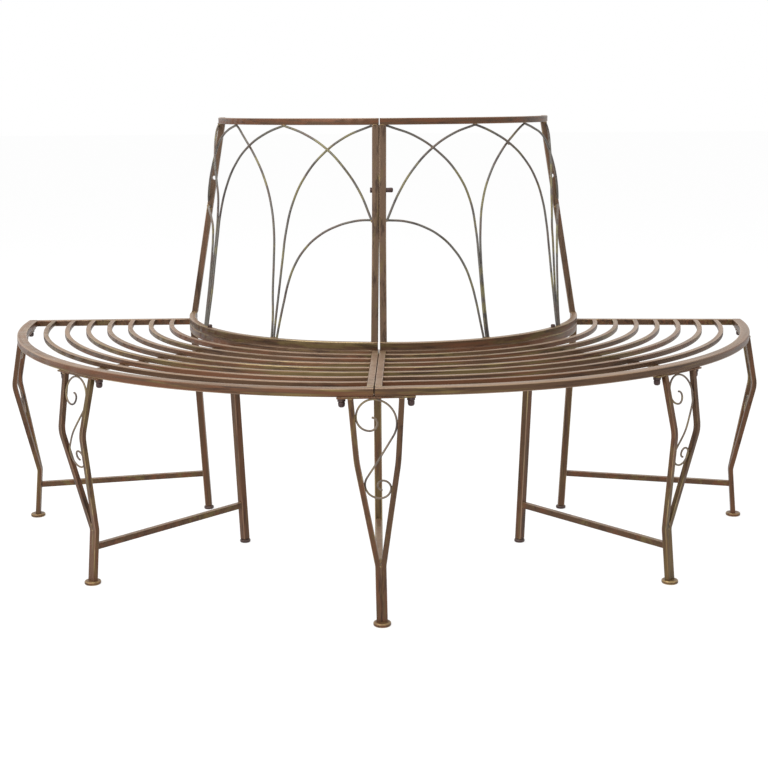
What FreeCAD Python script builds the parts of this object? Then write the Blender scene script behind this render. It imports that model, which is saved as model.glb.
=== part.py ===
import FreeCAD, Part

import math
import os

# Half-round tree bench in painted steel: two quarter-round modules bolted together at the
# middle seam, a wire-filled back round the trunk space, and five cabriole legs.
# Everything is drawn round the trunk axis and moved once at the end, so that the origin
# lies on the floor under the middle of the bench's box. X runs along the open flat side,
# -Y is the side people sit on, and a "turn" is an angle in degrees from the middle seam.
# Places on the seat, back and legs are written as steps from the piece that carries them,
# so that a changed seat or back takes its legs, scrolls, wires and bolts along.

Vector = FreeCAD.Vector
TRUNK = Vector(0, 0, 0)
UP = Vector(0, 0, 1)

# Seat, mm
seat_height = 433.0
seat_radius = 800.0
rim_width = 20.0
rim_height = 15.0
rim_wall = 1.5
inner_rim_radius = 425.0
slat_count = 7
slat_size = 10.0
bearer_width = 14.0
bearer_thickness = 5.0
bearer_angle = 45.0

# Square stock of the back, the seam and the flat ends, mm
stock = 13.0
stock_wall = 1.5
seam_gap = 1.0

# Back, mm
overall_height = 883.0
post_foot_inset = 1.8
post_lean_ratio = 1.0 / 6.0
bottom_rail_setback = 1.5
top_rail_setback = 1.7

# Wire of the back, mm; a bend of its routes is (turn, share of the height between the rails)
wire_diameter = 4.8
wire_sides = 4
wire_pass = 2.75
apex_bend = 8.0
arch_overrun = 10.0
near_arch = [(1.6, 0.54), (8, 0.778), (20, 0.927), (32, 1.002)]
near_arch += [(42, 0.955), (52, 0.87), (61.5, 0.627), (60.2, 0)]
far_arch = [(88.4, 0.54), (82, 0.776), (70, 0.932), (58, 1.002)]
far_arch += [(47, 0.91), (35.5, 0.729), (31.5, 0.455), (31, 0)]
seam_sweep = [(2, 1.002), (15, 0.915), (27.5, 0.696), (29, 0.526), (30, 0)]
seam_branch = [(2, 0.575), (13, 0.547), (25, 0.396), (29.1, 0)]
end_sweep = [(89.4, 1.002), (76.4, 0.915), (64.6, 0.696), (62.6, 0.526), (61.3, 0)]
end_branch = [(89.4, 0.575), (78.4, 0.547), (66.4, 0.396), (62.2, 0)]

# Legs, mm
end_leg_angle = 84.1
middle_leg_angle = 45.0
centre_leg_angle = 0.5
end_inner_angle = 87.25
middle_inner_angle = 46.0
centre_inner_angle = -0.5
bar_size = 10.0
bar_top_inset = 4.0
bar_top_spread = 44.3
knee_out = 16.5
knee_spread = 36.0
knee_drop = 108.0
knee_bend = 60.0
ankle_inset = 24.0
ankle_gap = 0.5
ankle_height = 108.0
ankle_bend = 30.0
foot_inset = 14.5
foot_diameter = 32.0
foot_height = 7.5
strap_length = 137.0
strap_width = 20.0
strap_thickness = 3.0
inner_leg_size = 15.0
inner_leg_wall = 1.5
inner_foot_inset = 21.8
inner_foot_diameter = 22.0
inner_foot_height = 7.0
stretcher_size = 12.0
stretcher_wall = 1.2
stretcher_outer_height = 74.0
stretcher_inner_height = 82.0

# Scroll between the two bars of each leg, mm
scroll_wire = 4.0
scroll_top_gap = 3.5
scroll_pitch = 119.0
scroll_gap = 0.5
scroll_top_curl = (12.0, 15.0, 22.0, 28.5)
scroll_low_start = 25.5
scroll_low_curl = (14.0, 9.0)
scroll_tail_angle = 130.0

# Fasteners, mm
clearance = 0.25
seam_bolt_diameter = 6.0
seam_bolt_drop = 136.0
spare_hole_drop = 131.0
spare_hole_diameter = 9.0
bolt_head_across = 10.0
bolt_head_height = 4.0
seam_nut_height = 11.5
rail_bolt_diameter = 6.0
rail_bolt_angle = 58.6
rail_nut_height = 5.0
stud_across = 8.0
stud_spacing = 120.0
leg_nut_across = 14.0
leg_nut_height = 16.0

rim_inside = seat_radius - rim_width
rim_under = seat_height - rim_height
seam_half = seam_gap / 2.0
inner_rim_outside = inner_rim_radius + stock / 2.0
inner_rim_inside = inner_rim_radius - stock / 2.0
rail_top = seat_height + stock
post_top = overall_height - stock
post_foot_radius = inner_rim_radius - post_foot_inset
post_top_radius = post_foot_radius - post_lean_ratio * (post_top - rail_top)
seam_bolt_height = overall_height - seam_bolt_drop
spare_hole_height = overall_height - spare_hole_drop
bar_top = rim_under - strap_thickness
bar_top_radius = seat_radius - bar_top_inset
knee_radius = seat_radius + knee_out
knee_height = bar_top - knee_drop
ankle_radius = seat_radius - ankle_inset
foot_radius = seat_radius - foot_inset
inner_foot_radius = inner_rim_radius - inner_foot_inset
scroll_high = bar_top - scroll_top_gap - scroll_top_curl[-1]
scroll_low = scroll_high - scroll_pitch
legs = {
    "left_end": (-end_leg_angle, -end_inner_angle),
    "left_middle": (-middle_leg_angle, -middle_inner_angle),
    "centre": (centre_leg_angle, centre_inner_angle),
    "right_middle": (middle_leg_angle, middle_inner_angle),
    "right_end": (end_leg_angle, end_inner_angle),
}
far = 2.0 * seat_radius

os.makedirs("parts", exist_ok=True)


def box(x_low, x_high, y_low, y_high, z_low, z_high):
    """A box between two corners."""
    return Part.makeBox(x_high - x_low, y_high - y_low, z_high - z_low, Vector(x_low, y_low, z_low))


def cleared(x_low, y_high, z_low=0.0, z_high=far):
    """The space of the right-hand module beyond a seam face and in front of a flat-end face."""
    return box(x_low, far, -far, y_high, z_low, z_high)


def polygon_face(points):
    """A flat face through the points."""
    return Part.Face(Part.makePolygon(list(points) + [points[0]]))


def quarter_ring(r_low, r_high, z_low, z_high):
    """A rectangular bar bent round the trunk through the right-hand quarter."""
    corners = [(r_low, z_low), (r_high, z_low), (r_high, z_high), (r_low, z_high)]
    face = polygon_face([Vector(r, 0, z) for r, z in corners])
    return face.revolve(TRUNK, UP, -90.0)


def back_radius(height):
    """Distance from the trunk axis to the middle of the leaning back at a height."""
    return post_foot_radius - post_lean_ratio * (height - rail_top)


def on_back(turn, height, outward=0.0):
    """A point of the back's cone, pushed outward towards the sitter if asked."""
    radius = back_radius(height) + outward
    angle = math.radians(turn)
    return Vector(radius * math.sin(angle), -radius * math.cos(angle), height)


def tangent_path(points, bends=None, share=0.45):
    """Straight runs joined by tangent arcs, as wide as the runs allow unless a bend radius is given."""
    bends = bends or {}
    edges = []
    last = points[0]
    for i in range(1, len(points) - 1):
        arrive = points[i] - points[i - 1]
        leave = points[i + 1] - points[i]
        reach = share * min(arrive.Length, leave.Length)
        arrive.normalize()
        leave.normalize()
        half_turn = arrive.getAngle(leave) / 2.0
        if i in bends:
            reach = min(reach, bends[i] * math.tan(half_turn))
        radius = reach / math.tan(half_turn)
        inward = leave - arrive
        inward.normalize()
        start = points[i] - arrive * reach
        end = points[i] + leave * reach
        middle = points[i] + inward * (radius / math.cos(half_turn) - radius)
        edges.append(Part.LineSegment(last, start).toShape())
        edges.append(Part.Arc(start, middle, end).toShape())
        last = end
    edges.append(Part.LineSegment(last, points[-1]).toShape())
    return Part.Wire(edges)


def wire_section(centre, direction, facing, diameter, sides):
    """A closed section of a drawn wire, square to its run, with a flat side that looks along facing."""
    side = direction.cross(facing)
    side.normalize()
    rise = side.cross(direction)
    # corners stand out so that the section has the round wire's area
    corner = diameter / 2.0 * math.sqrt(2.0 * math.pi / (sides * math.sin(2.0 * math.pi / sides)))
    angles = [2.0 * math.pi * (i + 0.5) / sides for i in range(sides)]
    points = [centre + side * (corner * math.cos(a)) + rise * (corner * math.sin(a)) for a in angles]
    return Part.makePolygon(points + [points[0]])


def bent_wire(path, diameter, facing):
    """A wire of constant thickness along a path."""
    start = path.Edges[0]
    place = start.valueAt(start.FirstParameter)
    direction = start.tangentAt(start.FirstParameter)
    section = wire_section(place, direction, facing, diameter, wire_sides)
    return path.makePipeShell([section], True, False)


def hex_prism(across, height, taper=1.0):
    """A six-sided block standing on the floor, narrowed at its top by a taper."""
    corner = across / math.sqrt(3.0)
    angles = [math.radians(60.0 * i) for i in range(6)]
    low = [Vector(corner * math.cos(a), corner * math.sin(a), 0) for a in angles]
    high = [Vector(point.x * taper, point.y * taper, height) for point in low]
    sides = [polygon_face([low[i - 1], low[i], high[i], high[i - 1]]) for i in range(6)]
    shell = Part.makeShell(sides + [polygon_face(low), polygon_face(high)])
    return Part.makeSolid(shell)


def cap_nut(across, height):
    """A nut with a closed dome, its seat on the floor."""
    skirt = 0.45 * height
    dome = hex_prism(across, height - skirt, 0.55)
    dome.translate(UP * skirt)
    return hex_prism(across, skirt).fuse(dome).removeSplitter()


def shank(across, length):
    """A bolt's shank standing on the floor; round ones have six sides here, to keep the model light."""
    return hex_prism(across, length)


def square_corners(centre, across, deep, size):
    """Corners of a square section round a centre, on two unit directions."""
    half = size / 2.0
    hands = [(-1, -1), (1, -1), (1, 1), (-1, 1)]
    return [centre + across * (half * a) + deep * (half * b) for a, b in hands]


def turned(shape, turn):
    """A copy carried round the trunk from the seam by a turn towards the right."""
    copy = shape.copy()
    copy.rotate(TRUNK, UP, turn)
    return copy


def mirrored(shape):
    """The left-hand twin of a right-hand piece."""
    return shape.mirror(TRUNK, Vector(1, 0, 0))


def longest(shape):
    """The biggest solid that a cut leaves."""
    return max(shape.Solids, key=lambda solid: solid.Volume)


def seat_slats():
    """The round slats, evenly spaced between the two rims."""
    pitch = (rim_inside - inner_rim_outside + slat_size) / (slat_count + 1.0)
    space = cleared(seam_half + stock, -stock)
    slats = {}
    for i in range(slat_count):
        middle = rim_inside + slat_size / 2.0 - pitch * (i + 1)
        inside = middle - slat_size / 2.0
        ring = quarter_ring(inside, inside + slat_size, seat_height - slat_size, seat_height)
        slats["slat_%d" % (i + 1)] = ring.common(space)
    return slats


def outer_rim():
    """The seat's front rim: rectangular tube, capped at the flat end and open at the seam."""
    ring = quarter_ring(rim_inside, seat_radius, rim_under, seat_height).common(cleared(seam_half, far))
    r_low = rim_inside + rim_wall
    r_high = seat_radius - rim_wall
    hollow = quarter_ring(r_low, r_high, rim_under + rim_wall, seat_height - rim_wall)
    return ring.cut(hollow.common(cleared(0.0, -rim_wall)))


def seat_frame():
    """The two rims, the bars that close the seat's ends, and the bearer under the slats."""
    between = Part.makeCylinder(rim_inside, far).cut(Part.makeCylinder(inner_rim_outside, far))
    wall = stock_wall
    tube_low = seat_height - stock
    tube = box(0, far, -stock, 0, tube_low, seat_height)
    bore = box(0, far, wall - stock, -wall, tube_low + wall, seat_height - wall)
    end_bar = tube.cut(bore).common(between).common(cleared(0.0, far))
    near = seam_half
    seam_tube = box(near, near + stock, -far, 0, rim_under, seat_height)
    seam_bore = box(near + wall, near + stock - wall, -far, 0, rim_under + wall, seat_height - wall)
    seam_bar = seam_tube.cut(seam_bore).common(between)
    under = seat_height - slat_size
    flat = box(-bearer_width / 2.0, bearer_width / 2.0, -far, 0, under - bearer_thickness, under)
    bearer = turned(flat, bearer_angle).common(between)
    inner = quarter_ring(inner_rim_inside, inner_rim_outside, rim_under, seat_height)
    return {
        "outer_rim": outer_rim(),
        "inner_rim": inner.common(cleared(seam_half, far)),
        "end_bar": end_bar,
        "seam_bar": seam_bar,
        "bearer": bearer,
    }


def post_profile():
    """Side view of a back post as (distance from the trunk axis, height), cut level at both ends."""
    half = stock / 2.0 * math.sqrt(1.0 + post_lean_ratio ** 2)
    low = back_radius(rail_top)
    high = back_radius(post_top)
    return [(low - half, rail_top), (low + half, rail_top), (high + half, post_top), (high - half, post_top)]


def back_frame():
    """The bottom rail on the seat, the two leaning posts and the top rail on them."""
    bottom = quarter_ring(inner_rim_inside, inner_rim_outside, seat_height, rail_top)
    bottom = bottom.common(cleared(seam_half + bottom_rail_setback, far))
    top = quarter_ring(post_top_radius - stock / 2.0, post_top_radius + stock / 2.0, post_top, overall_height)
    top = top.common(cleared(seam_half + top_rail_setback, far))
    seam_face = polygon_face([Vector(seam_half, -r, z) for r, z in post_profile()])
    seam_post = seam_face.extrude(Vector(stock, 0, 0))
    end_face = polygon_face([Vector(r, 0, z) for r, z in post_profile()])
    end_post = end_face.extrude(Vector(0, -stock, 0))
    bolt_hole = shank(seam_bolt_diameter + 2.0 * clearance, far)
    bolt_hole.rotate(TRUNK, Vector(0, 1, 0), 90.0)
    bolt_hole.translate(Vector(0, -back_radius(seam_bolt_height), seam_bolt_height))
    behind = Vector(back_radius(spare_hole_height), 1.0, spare_hole_height)
    spare_hole = Part.makeCylinder(spare_hole_diameter / 2.0, far, behind, Vector(0, -1, 0))
    return {
        "bottom_rail": bottom,
        "top_rail": top,
        "seam_post": seam_post.cut(bolt_hole),
        "end_post": end_post.cut(spare_hole),
    }


def wire_route(bends, outward):
    """The corners of a back wire; its ends on the bottom rail run past it and are cut there."""
    rise = post_top - rail_top
    corners = []
    for turn, share in bends:
        height = rail_top + share * rise if share else rail_top - arch_overrun
        corners.append(on_back(turn, height, outward))
    return corners


def back_wires():
    """The interlaced arches: two pointed ones and four half ones, trimmed where they meet the frame."""
    routes = [
        (near_arch, wire_pass, {3: apex_bend}),
        (far_arch, -wire_pass, {3: apex_bend}),
        (seam_sweep, -wire_pass, {}),
        (end_sweep, wire_pass, {}),
        (seam_branch, -wire_pass, {}),
        (end_branch, wire_pass, {}),
    ]
    space = cleared(seam_half + stock, -stock, rail_top, post_top)
    solids = []
    for route, outward, bends in routes:
        corners = wire_route(route, outward)
        straight_out = Vector(corners[0].x, corners[0].y, 0)
        wire = bent_wire(tangent_path(corners, bends), wire_diameter, straight_out)
        solids.append(longest(wire.common(space)))
    return solids


def bar_points(hand):
    """Corners of one bar's centreline in the leg's own place at the seam, hand -1 or 1 across the leg."""
    beside = bar_size / 2.0 + ankle_gap / 2.0
    # the run above the knee goes on past the strap and is cut level there
    grow = (knee_drop + bar_size) / knee_drop
    top_radius = knee_radius + (bar_top_radius - knee_radius) * grow
    top_spread = knee_spread + (bar_top_spread - knee_spread) * grow
    corners = [
        (top_radius, top_spread, bar_top + bar_size),
        (knee_radius, knee_spread, knee_height),
        (ankle_radius, beside, ankle_height),
        (foot_radius, beside, 0.0),
    ]
    return [Vector(hand * spread, -radius, height) for radius, spread, height in corners]


def square_bar(points, bends, size):
    """A square bar along its bent centreline."""
    path = tangent_path(points, bends)
    along = points[1] - points[0]
    along.normalize()
    deep = along.cross(Vector(1, 0, 0))
    deep.normalize()
    across = deep.cross(along)
    corners = square_corners(points[0], across, deep, size)
    return path.makePipeShell([Part.makePolygon(corners + [corners[0]])], True, False)


def leg_bars():
    """The two square bars of an outer leg, cut level under the strap and on the foot cap."""
    space = box(-far, far, -far, 0, foot_height, bar_top)
    bends = {1: knee_bend, 2: ankle_bend}
    return [square_bar(bar_points(hand), bends, bar_size).common(space) for hand in (-1, 1)]


def bar_at(height):
    """A leg bar's distance from the trunk axis, its half spacing and that spacing's widening per rise."""
    beside = bar_size / 2.0 + ankle_gap / 2.0
    if height > knee_height:
        low, high = (knee_radius, knee_spread, knee_height), (bar_top_radius, bar_top_spread, bar_top)
    else:
        low, high = (ankle_radius, beside, ankle_height), (knee_radius, knee_spread, knee_height)
    part = (height - low[2]) / (high[2] - low[2])
    widening = (high[1] - low[1]) / (high[2] - low[2])
    return low[0] + (high[0] - low[0]) * part, low[1] + (high[1] - low[1]) * part, widening


def scroll():
    """The S-scroll of a leg: two curls of tangent arcs that reach both bars, joined by a straight run."""
    touch = bar_size / 2.0 + scroll_wire / 2.0 + scroll_gap
    high_radius, high_spread, _ = bar_at(scroll_high)
    low_radius, low_spread, _ = bar_at(scroll_low)
    round_top = scroll_top_curl[-1]
    top_left = Vector(touch - high_spread, 0, scroll_high)
    low_left = touch - low_spread
    # the last arc of each curl is as wide as brings it to the other bar, which widens upwards
    crown = scroll_high + round_top
    _, spread, widening = bar_at(crown)
    wide_top = (spread - touch - top_left.x - round_top) / (1.0 + widening)
    base = scroll_low - scroll_low_start
    _, spread, widening = bar_at(base)
    wide_low = (spread - touch - low_left - scroll_low_start) / (1.0 - widening)
    # the straight run leaves one curl and enters the other at the same slope
    across = top_left.x + round_top + wide_top - low_left
    drop = crown - wide_top - scroll_low
    both = wide_top + scroll_low_start
    slope = math.asin(both / math.hypot(drop, both - across)) - math.atan2(both - across, drop)
    run = (across - both * (1.0 - math.cos(slope))) / math.sin(slope)

    inner_edges = []
    place = top_left
    heading = 270.0
    for radius in reversed(scroll_top_curl[:-1]):
        edge, place, heading = arc_step(place, heading, radius, 90.0)
        inner_edges.append(edge)
    edges = []
    place = top_left
    heading = 90.0
    for radius, turn in ((round_top, -90.0), (wide_top, -90.0 - math.degrees(slope))):
        edge, place, heading = arc_step(place, heading, radius, turn)
        edges.append(edge)
    end = place + Vector(math.cos(math.radians(heading)), 0, math.sin(math.radians(heading))) * run
    edges.append(Part.LineSegment(place, end).toShape())
    place = end
    steps = [(scroll_low_start, 90.0 + math.degrees(slope)), (wide_low, 90.0), (scroll_low_curl[0], 90.0)]
    for radius, turn in steps + [(scroll_low_curl[1], scroll_tail_angle)]:
        edge, place, heading = arc_step(place, heading, radius, turn)
        edges.append(edge)
    whole = Part.Wire(Part.sortEdges(inner_edges + edges)[0])
    flat = bent_wire(whole, scroll_wire, Vector(0, 1, 0))
    # the scroll is flat and leans with the bars between the two heights
    lean = math.degrees(math.atan2(high_radius - low_radius, scroll_high - scroll_low))
    flat.translate(Vector(0, -high_radius, 0))
    flat.rotate(Vector(0, -high_radius, scroll_high), Vector(1, 0, 0), lean)
    return flat


def arc_step(place, heading, radius, turn):
    """An arc in the leg's front view from a place and heading; left turns are positive."""
    side = 1.0 if turn > 0 else -1.0
    angle = math.radians(heading)
    centre = place + Vector(-side * radius * math.sin(angle), 0, side * radius * math.cos(angle))
    points = []
    for part in (0.5, 1.0):
        now = angle + math.radians(turn) * part
        points.append(centre + Vector(side * radius * math.sin(now), 0, -side * radius * math.cos(now)))
    return Part.Arc(place, points[0], points[1]).toShape(), points[1], heading + turn


def leaning_tube(size, wall, top, foot):
    """A straight square tube between two centre points with level ends, and its outline."""
    shapes = []
    for width in (size, size - 2.0 * wall):
        corners = square_corners(foot, Vector(1, 0, 0), Vector(0, 1, 0), width)
        shapes.append(polygon_face(corners).extrude(top - foot))
    return shapes[0].cut(shapes[1]), shapes[0]


def inner_leg():
    """The straight back leg from the inner rim to its foot cap, at the seam."""
    top = Vector(0, -inner_rim_radius, rim_under)
    run = inner_rim_radius - inner_foot_radius
    foot = Vector(0, -inner_foot_radius - run * inner_foot_height / rim_under, inner_foot_height)
    return leaning_tube(inner_leg_size, inner_leg_wall, top, foot)


def stretcher(leg_turn, inner_turn, outer_solids, inner_solid):
    """The low tube from an outer leg to its back leg, its ends cut to fit both."""
    outer_at = turned_point(ankle_radius, leg_turn, stretcher_outer_height)
    inner_at = turned_point(inner_foot_radius, inner_turn, stretcher_inner_height)
    along = inner_at - outer_at
    along.normalize()
    across = along.cross(UP)
    across.normalize()
    rise = across.cross(along)
    shapes = []
    for width in (stretcher_size, stretcher_size - 2.0 * stretcher_wall):
        corners = square_corners(outer_at, across, rise, width)
        shapes.append(polygon_face(corners).extrude(inner_at - outer_at))
    outline = shapes[0]
    for blocker in list(outer_solids) + [inner_solid]:
        outline = longest(outline.cut(blocker))
    return outline.cut(shapes[1])


def turned_point(radius, turn, height):
    """A point round the trunk."""
    angle = math.radians(turn)
    return Vector(radius * math.sin(angle), -radius * math.cos(angle), height)


def foot_cap():
    """The round cap under an outer leg."""
    return Part.makeCylinder(foot_diameter / 2.0, foot_height, Vector(0, -foot_radius, 0))


def inner_foot_cap():
    """The round cap under a back leg."""
    return Part.makeCylinder(inner_foot_diameter / 2.0, inner_foot_height, Vector(0, -inner_foot_radius, 0))


def leg_fixing():
    """The flat strap that an outer leg's bars are welded to, and the two capped studs through it."""
    middle = seat_radius - rim_width / 2.0 - clearance
    reach = strap_length / 2.0
    half = strap_width / 2.0
    strap = box(-reach, reach, -middle - half, -middle + half, bar_top, rim_under)
    studs = []
    for hand in (-1, 1):
        place = Vector(hand * stud_spacing / 2.0, -middle, bar_top)
        hole = shank(stud_across + 2.0 * clearance, strap_thickness)
        stud = cap_nut(leg_nut_across, leg_nut_height)
        stud.rotate(TRUNK, Vector(1, 0, 0), 180.0)
        stud = stud.fuse(shank(stud_across, strap_thickness))
        hole.translate(place)
        stud.translate(place)
        strap = strap.cut(hole)
        studs.append(stud)
    return strap, studs


def seam_fasteners():
    """The bolt through the two seam posts and its cap nut."""
    half_pack = seam_half + stock
    head = hex_prism(bolt_head_across, bolt_head_height)
    head.translate(UP * -bolt_head_height)
    bolt = head.fuse(shank(seam_bolt_diameter, 2.0 * half_pack))
    nut = cap_nut(bolt_head_across, seam_nut_height)
    nut.translate(UP * (2.0 * half_pack))
    for piece in (bolt, nut):
        piece.rotate(TRUNK, Vector(0, 1, 0), 90.0)
        piece.translate(Vector(-half_pack, -back_radius(seam_bolt_height), seam_bolt_height))
    return bolt, nut


def rail_fasteners():
    """The upright bolt that clamps the back's bottom rail to the seat, its nut and their way through."""
    grip = rail_top - rim_under
    way = shank(rail_bolt_diameter + 2.0 * clearance, far)
    stem = shank(rail_bolt_diameter, grip)
    stem.translate(UP * rim_under)
    head = hex_prism(bolt_head_across, bolt_head_height)
    head.translate(UP * rail_top)
    nut = hex_prism(bolt_head_across, rail_nut_height)
    nut.translate(UP * (rim_under - rail_nut_height))
    pieces = []
    for piece in (head.fuse(stem), nut, way):
        piece.translate(Vector(0, -inner_rim_radius, 0))
        pieces.append(turned(piece, rail_bolt_angle))
    return pieces


nodes = {}

module = {}
module.update(seat_frame())
module.update(seat_slats())
module.update(back_frame())
rail_bolt, rail_nut, bolt_way = rail_fasteners()
for name in ("inner_rim", "bottom_rail"):
    module[name] = module[name].cut(bolt_way)
for name, shape in module.items():
    nodes["right_" + name] = [shape]
    nodes["left_" + name] = [mirrored(shape)]

wires = back_wires()
nodes["right_back_wires"] = wires
nodes["left_back_wires"] = [mirrored(wire) for wire in wires]

bars = leg_bars()
inner_tube, inner_outline = inner_leg()
flat_scroll = scroll()
strap, studs = leg_fixing()
groups = {"leg_scrolls": [], "leg_straps": [], "outer_feet": [], "inner_feet": [], "leg_cap_studs": []}
for leg, (turn, inner_turn) in legs.items():
    placed = [turned(bar, turn) for bar in bars]
    nodes[leg + "_leg_bars"] = placed
    nodes[leg + "_inner_leg"] = [turned(inner_tube, inner_turn)]
    nodes[leg + "_stretcher"] = [stretcher(turn, inner_turn, placed, turned(inner_outline, inner_turn))]
    groups["leg_scrolls"].append(turned(flat_scroll, turn))
    groups["leg_straps"].append(turned(strap, turn))
    groups["outer_feet"].append(turned(foot_cap(), turn))
    groups["inner_feet"].append(turned(inner_foot_cap(), inner_turn))
    groups["leg_cap_studs"] += [turned(stud, turn) for stud in studs]
nodes.update(groups)

seam_bolt, seam_nut = seam_fasteners()
nodes["seam_bolt"] = [seam_bolt]
nodes["seam_nut"] = [seam_nut]
nodes["rail_bolts"] = [rail_bolt, mirrored(rail_bolt)]
nodes["rail_nuts"] = [rail_nut, mirrored(rail_nut)]

# The knee of the centre leg reaches furthest from the flat side, and sets the bench's depth.
depth = -nodes["centre_leg_bars"][0].optimalBoundingBox().YMin
for name, solids in nodes.items():
    shape = solids[0] if len(solids) == 1 else Part.makeCompound(solids)
    shape.translate(Vector(0, depth / 2.0, 0))
    shape.exportStep("parts/%s.step" % name)
print("%d nodes, depth %.2f" % (len(nodes), depth))
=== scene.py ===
"""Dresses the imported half-round tree bench for a studio picture.

The CAD nodes are the frame. Each of them is stood for by a finer piece here: bars with rounded
corners, round wires, capped studs and rounded feet, all in brushed brown paint. Weld beads are
added where they meet.
"""

import contextlib
import enum
import logging
import math
from dataclasses import dataclass, field, replace
from typing import Callable, Iterator, Optional, Sequence, Union

import bmesh
import bpy
from mathutils import Matrix, Vector


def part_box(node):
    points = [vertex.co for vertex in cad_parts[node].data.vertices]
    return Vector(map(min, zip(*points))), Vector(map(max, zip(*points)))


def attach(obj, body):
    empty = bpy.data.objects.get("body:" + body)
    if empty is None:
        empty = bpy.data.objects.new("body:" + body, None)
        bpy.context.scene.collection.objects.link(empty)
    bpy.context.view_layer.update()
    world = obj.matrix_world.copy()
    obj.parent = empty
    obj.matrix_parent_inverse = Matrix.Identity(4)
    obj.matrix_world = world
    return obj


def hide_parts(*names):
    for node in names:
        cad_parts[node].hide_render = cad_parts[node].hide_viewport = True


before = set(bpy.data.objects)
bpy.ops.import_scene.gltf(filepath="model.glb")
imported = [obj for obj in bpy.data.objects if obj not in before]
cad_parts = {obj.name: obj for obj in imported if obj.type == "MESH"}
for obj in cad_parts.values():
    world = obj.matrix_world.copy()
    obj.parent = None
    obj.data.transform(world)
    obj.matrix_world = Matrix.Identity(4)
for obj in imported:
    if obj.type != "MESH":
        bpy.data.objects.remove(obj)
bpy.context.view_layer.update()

MM = 0.001
SEAT_RADIUS = 800 * MM
TRUNK_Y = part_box("right_outer_rim")[0].y + SEAT_RADIUS
BODY = "root"
EDGE = "edge_wear_and_glint"
log = logging.getLogger("tree_bench")

# Along the flat side, from the sitters to the flat side, and upright.
LEFT, RIGHT = Vector((-1, 0, 0)), Vector((1, 0, 0))
REAR = Vector((0, 1, 0))
DOWN, UP = Vector((0, 0, -1)), Vector((0, 0, 1))
STILL = Matrix.Identity(4)
MIRROR = Matrix.Scale(-1, 4, RIGHT)

Colour = tuple[float, float, float]
Point = tuple[float, float]
Station = tuple[float, ...]


def paint(red: int, green: int, blue: int) -> Colour:
    """A colour as a paint card gives it, turned into light values.

    Args:
        red, green, blue: values from 0 to 255.

    Returns:
        The same colour as linear numbers.
    """

    def linear(value: int) -> float:
        """One channel, from card value to light value."""
        share = value / 255
        return share / 12.92 if share <= 0.04045 else ((share + 0.055) / 1.055) ** 2.4

    return linear(red), linear(green), linear(blue)


Number = Union["Signal", float]


class Signal:
    """A number that changes over a surface; expressions on it become Math nodes."""

    def __init__(self, mixer: "Mixer", socket: bpy.types.NodeSocket) -> None:
        """Wraps an output socket of a mixer's node."""
        self.mixer = mixer
        self.socket = socket

    def _maths(self, operation: str, first: Number, second: Number = 0.0) -> "Signal":
        """A Math node on two numbers."""
        node = self.mixer.node("ShaderNodeMath", {0: first, 1: second}, operation=operation)
        return Signal(self.mixer, node.outputs[0])

    def __add__(self, other: Number) -> "Signal":
        """self + other."""
        return self._maths("ADD", self, other)

    __radd__ = __add__

    def __sub__(self, other: Number) -> "Signal":
        """self - other."""
        return self._maths("SUBTRACT", self, other)

    def __rsub__(self, other: Number) -> "Signal":
        """other - self."""
        return self._maths("SUBTRACT", other, self)

    def __mul__(self, other: Number) -> "Signal":
        """self * other."""
        return self._maths("MULTIPLY", self, other)

    __rmul__ = __mul__

    def turn_from(self, other: "Signal") -> "Signal":
        """The angle whose sine side is self and cosine side is other."""
        return self._maths("ARCTAN2", self, other)

    def length_with(self, other: "Signal") -> "Signal":
        """The long side of the right triangle on self and other."""
        return self._maths("SQRT", self * self + other * other)

    def larger(self, other: "Signal") -> "Signal":
        """The larger of two numbers."""
        return self._maths("MAXIMUM", self, other)

    def mixed(self, other: "Signal", share: float) -> "Signal":
        """A share of self with the rest of other."""
        return self * share + other * (1 - share)

    def fade(self, low: float, high: float) -> "Signal":
        """0 below low, 1 above high, with a smooth step in between.

        Args:
            low: where the step starts.
            high: where it ends.

        Returns:
            The stepped number.
        """
        limits = {"Value": self, "From Min": low, "From Max": high}
        node = self.mixer.node("ShaderNodeMapRange", limits, interpolation_type="SMOOTHSTEP")
        return Signal(self.mixer, node.outputs[0])


class Mixer:
    """A node tree and the ways to add to it."""

    def __init__(self, owner: Union[bpy.types.Material, bpy.types.World]) -> None:
        """Takes the owner's node tree and empties it.

        Args:
            owner: the material or world that is mixed.
        """
        owner.use_nodes = True
        self.tree = owner.node_tree
        self.tree.nodes.clear()

    def feed(self, socket: bpy.types.NodeSocket, value: object) -> None:
        """Gives an input a plain value, a signal or another node's output.

        Args:
            socket: the input.
            value: what it gets.
        """
        if isinstance(value, Signal):
            value = value.socket
        if isinstance(value, bpy.types.NodeSocket):
            self.tree.links.new(value, socket)
        else:
            socket.default_value = value

    def node(
        self, kind: str, inputs: Optional[dict[Union[str, int], object]] = None, **settings: object
    ) -> bpy.types.Node:
        """Adds a node.

        Args:
            kind: the node's type.
            inputs: values, signals or sockets for its inputs, by name or number.
            **settings: its properties, set first.

        Returns:
            The node.
        """
        node = self.tree.nodes.new(kind)
        for name, value in settings.items():
            setattr(node, name, value)
        for key, value in (inputs or {}).items():
            self.feed(node.inputs[key], value)
        return node


class Grain(enum.Enum):
    """The way a brush ran along a piece, as stretches of the pattern along X, Y and Z."""

    EVEN = (1.0, 1.0, 1.0)
    UPRIGHT = (1.0, 1.0, 0.07)
    ROUND_TRUNK = (0.07, 1.0, 1.0)


# How far a pattern's shift carries it along X, Y and Z.
SHIFT_SHARES = (1.0, 1.7, 0.6)


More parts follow.
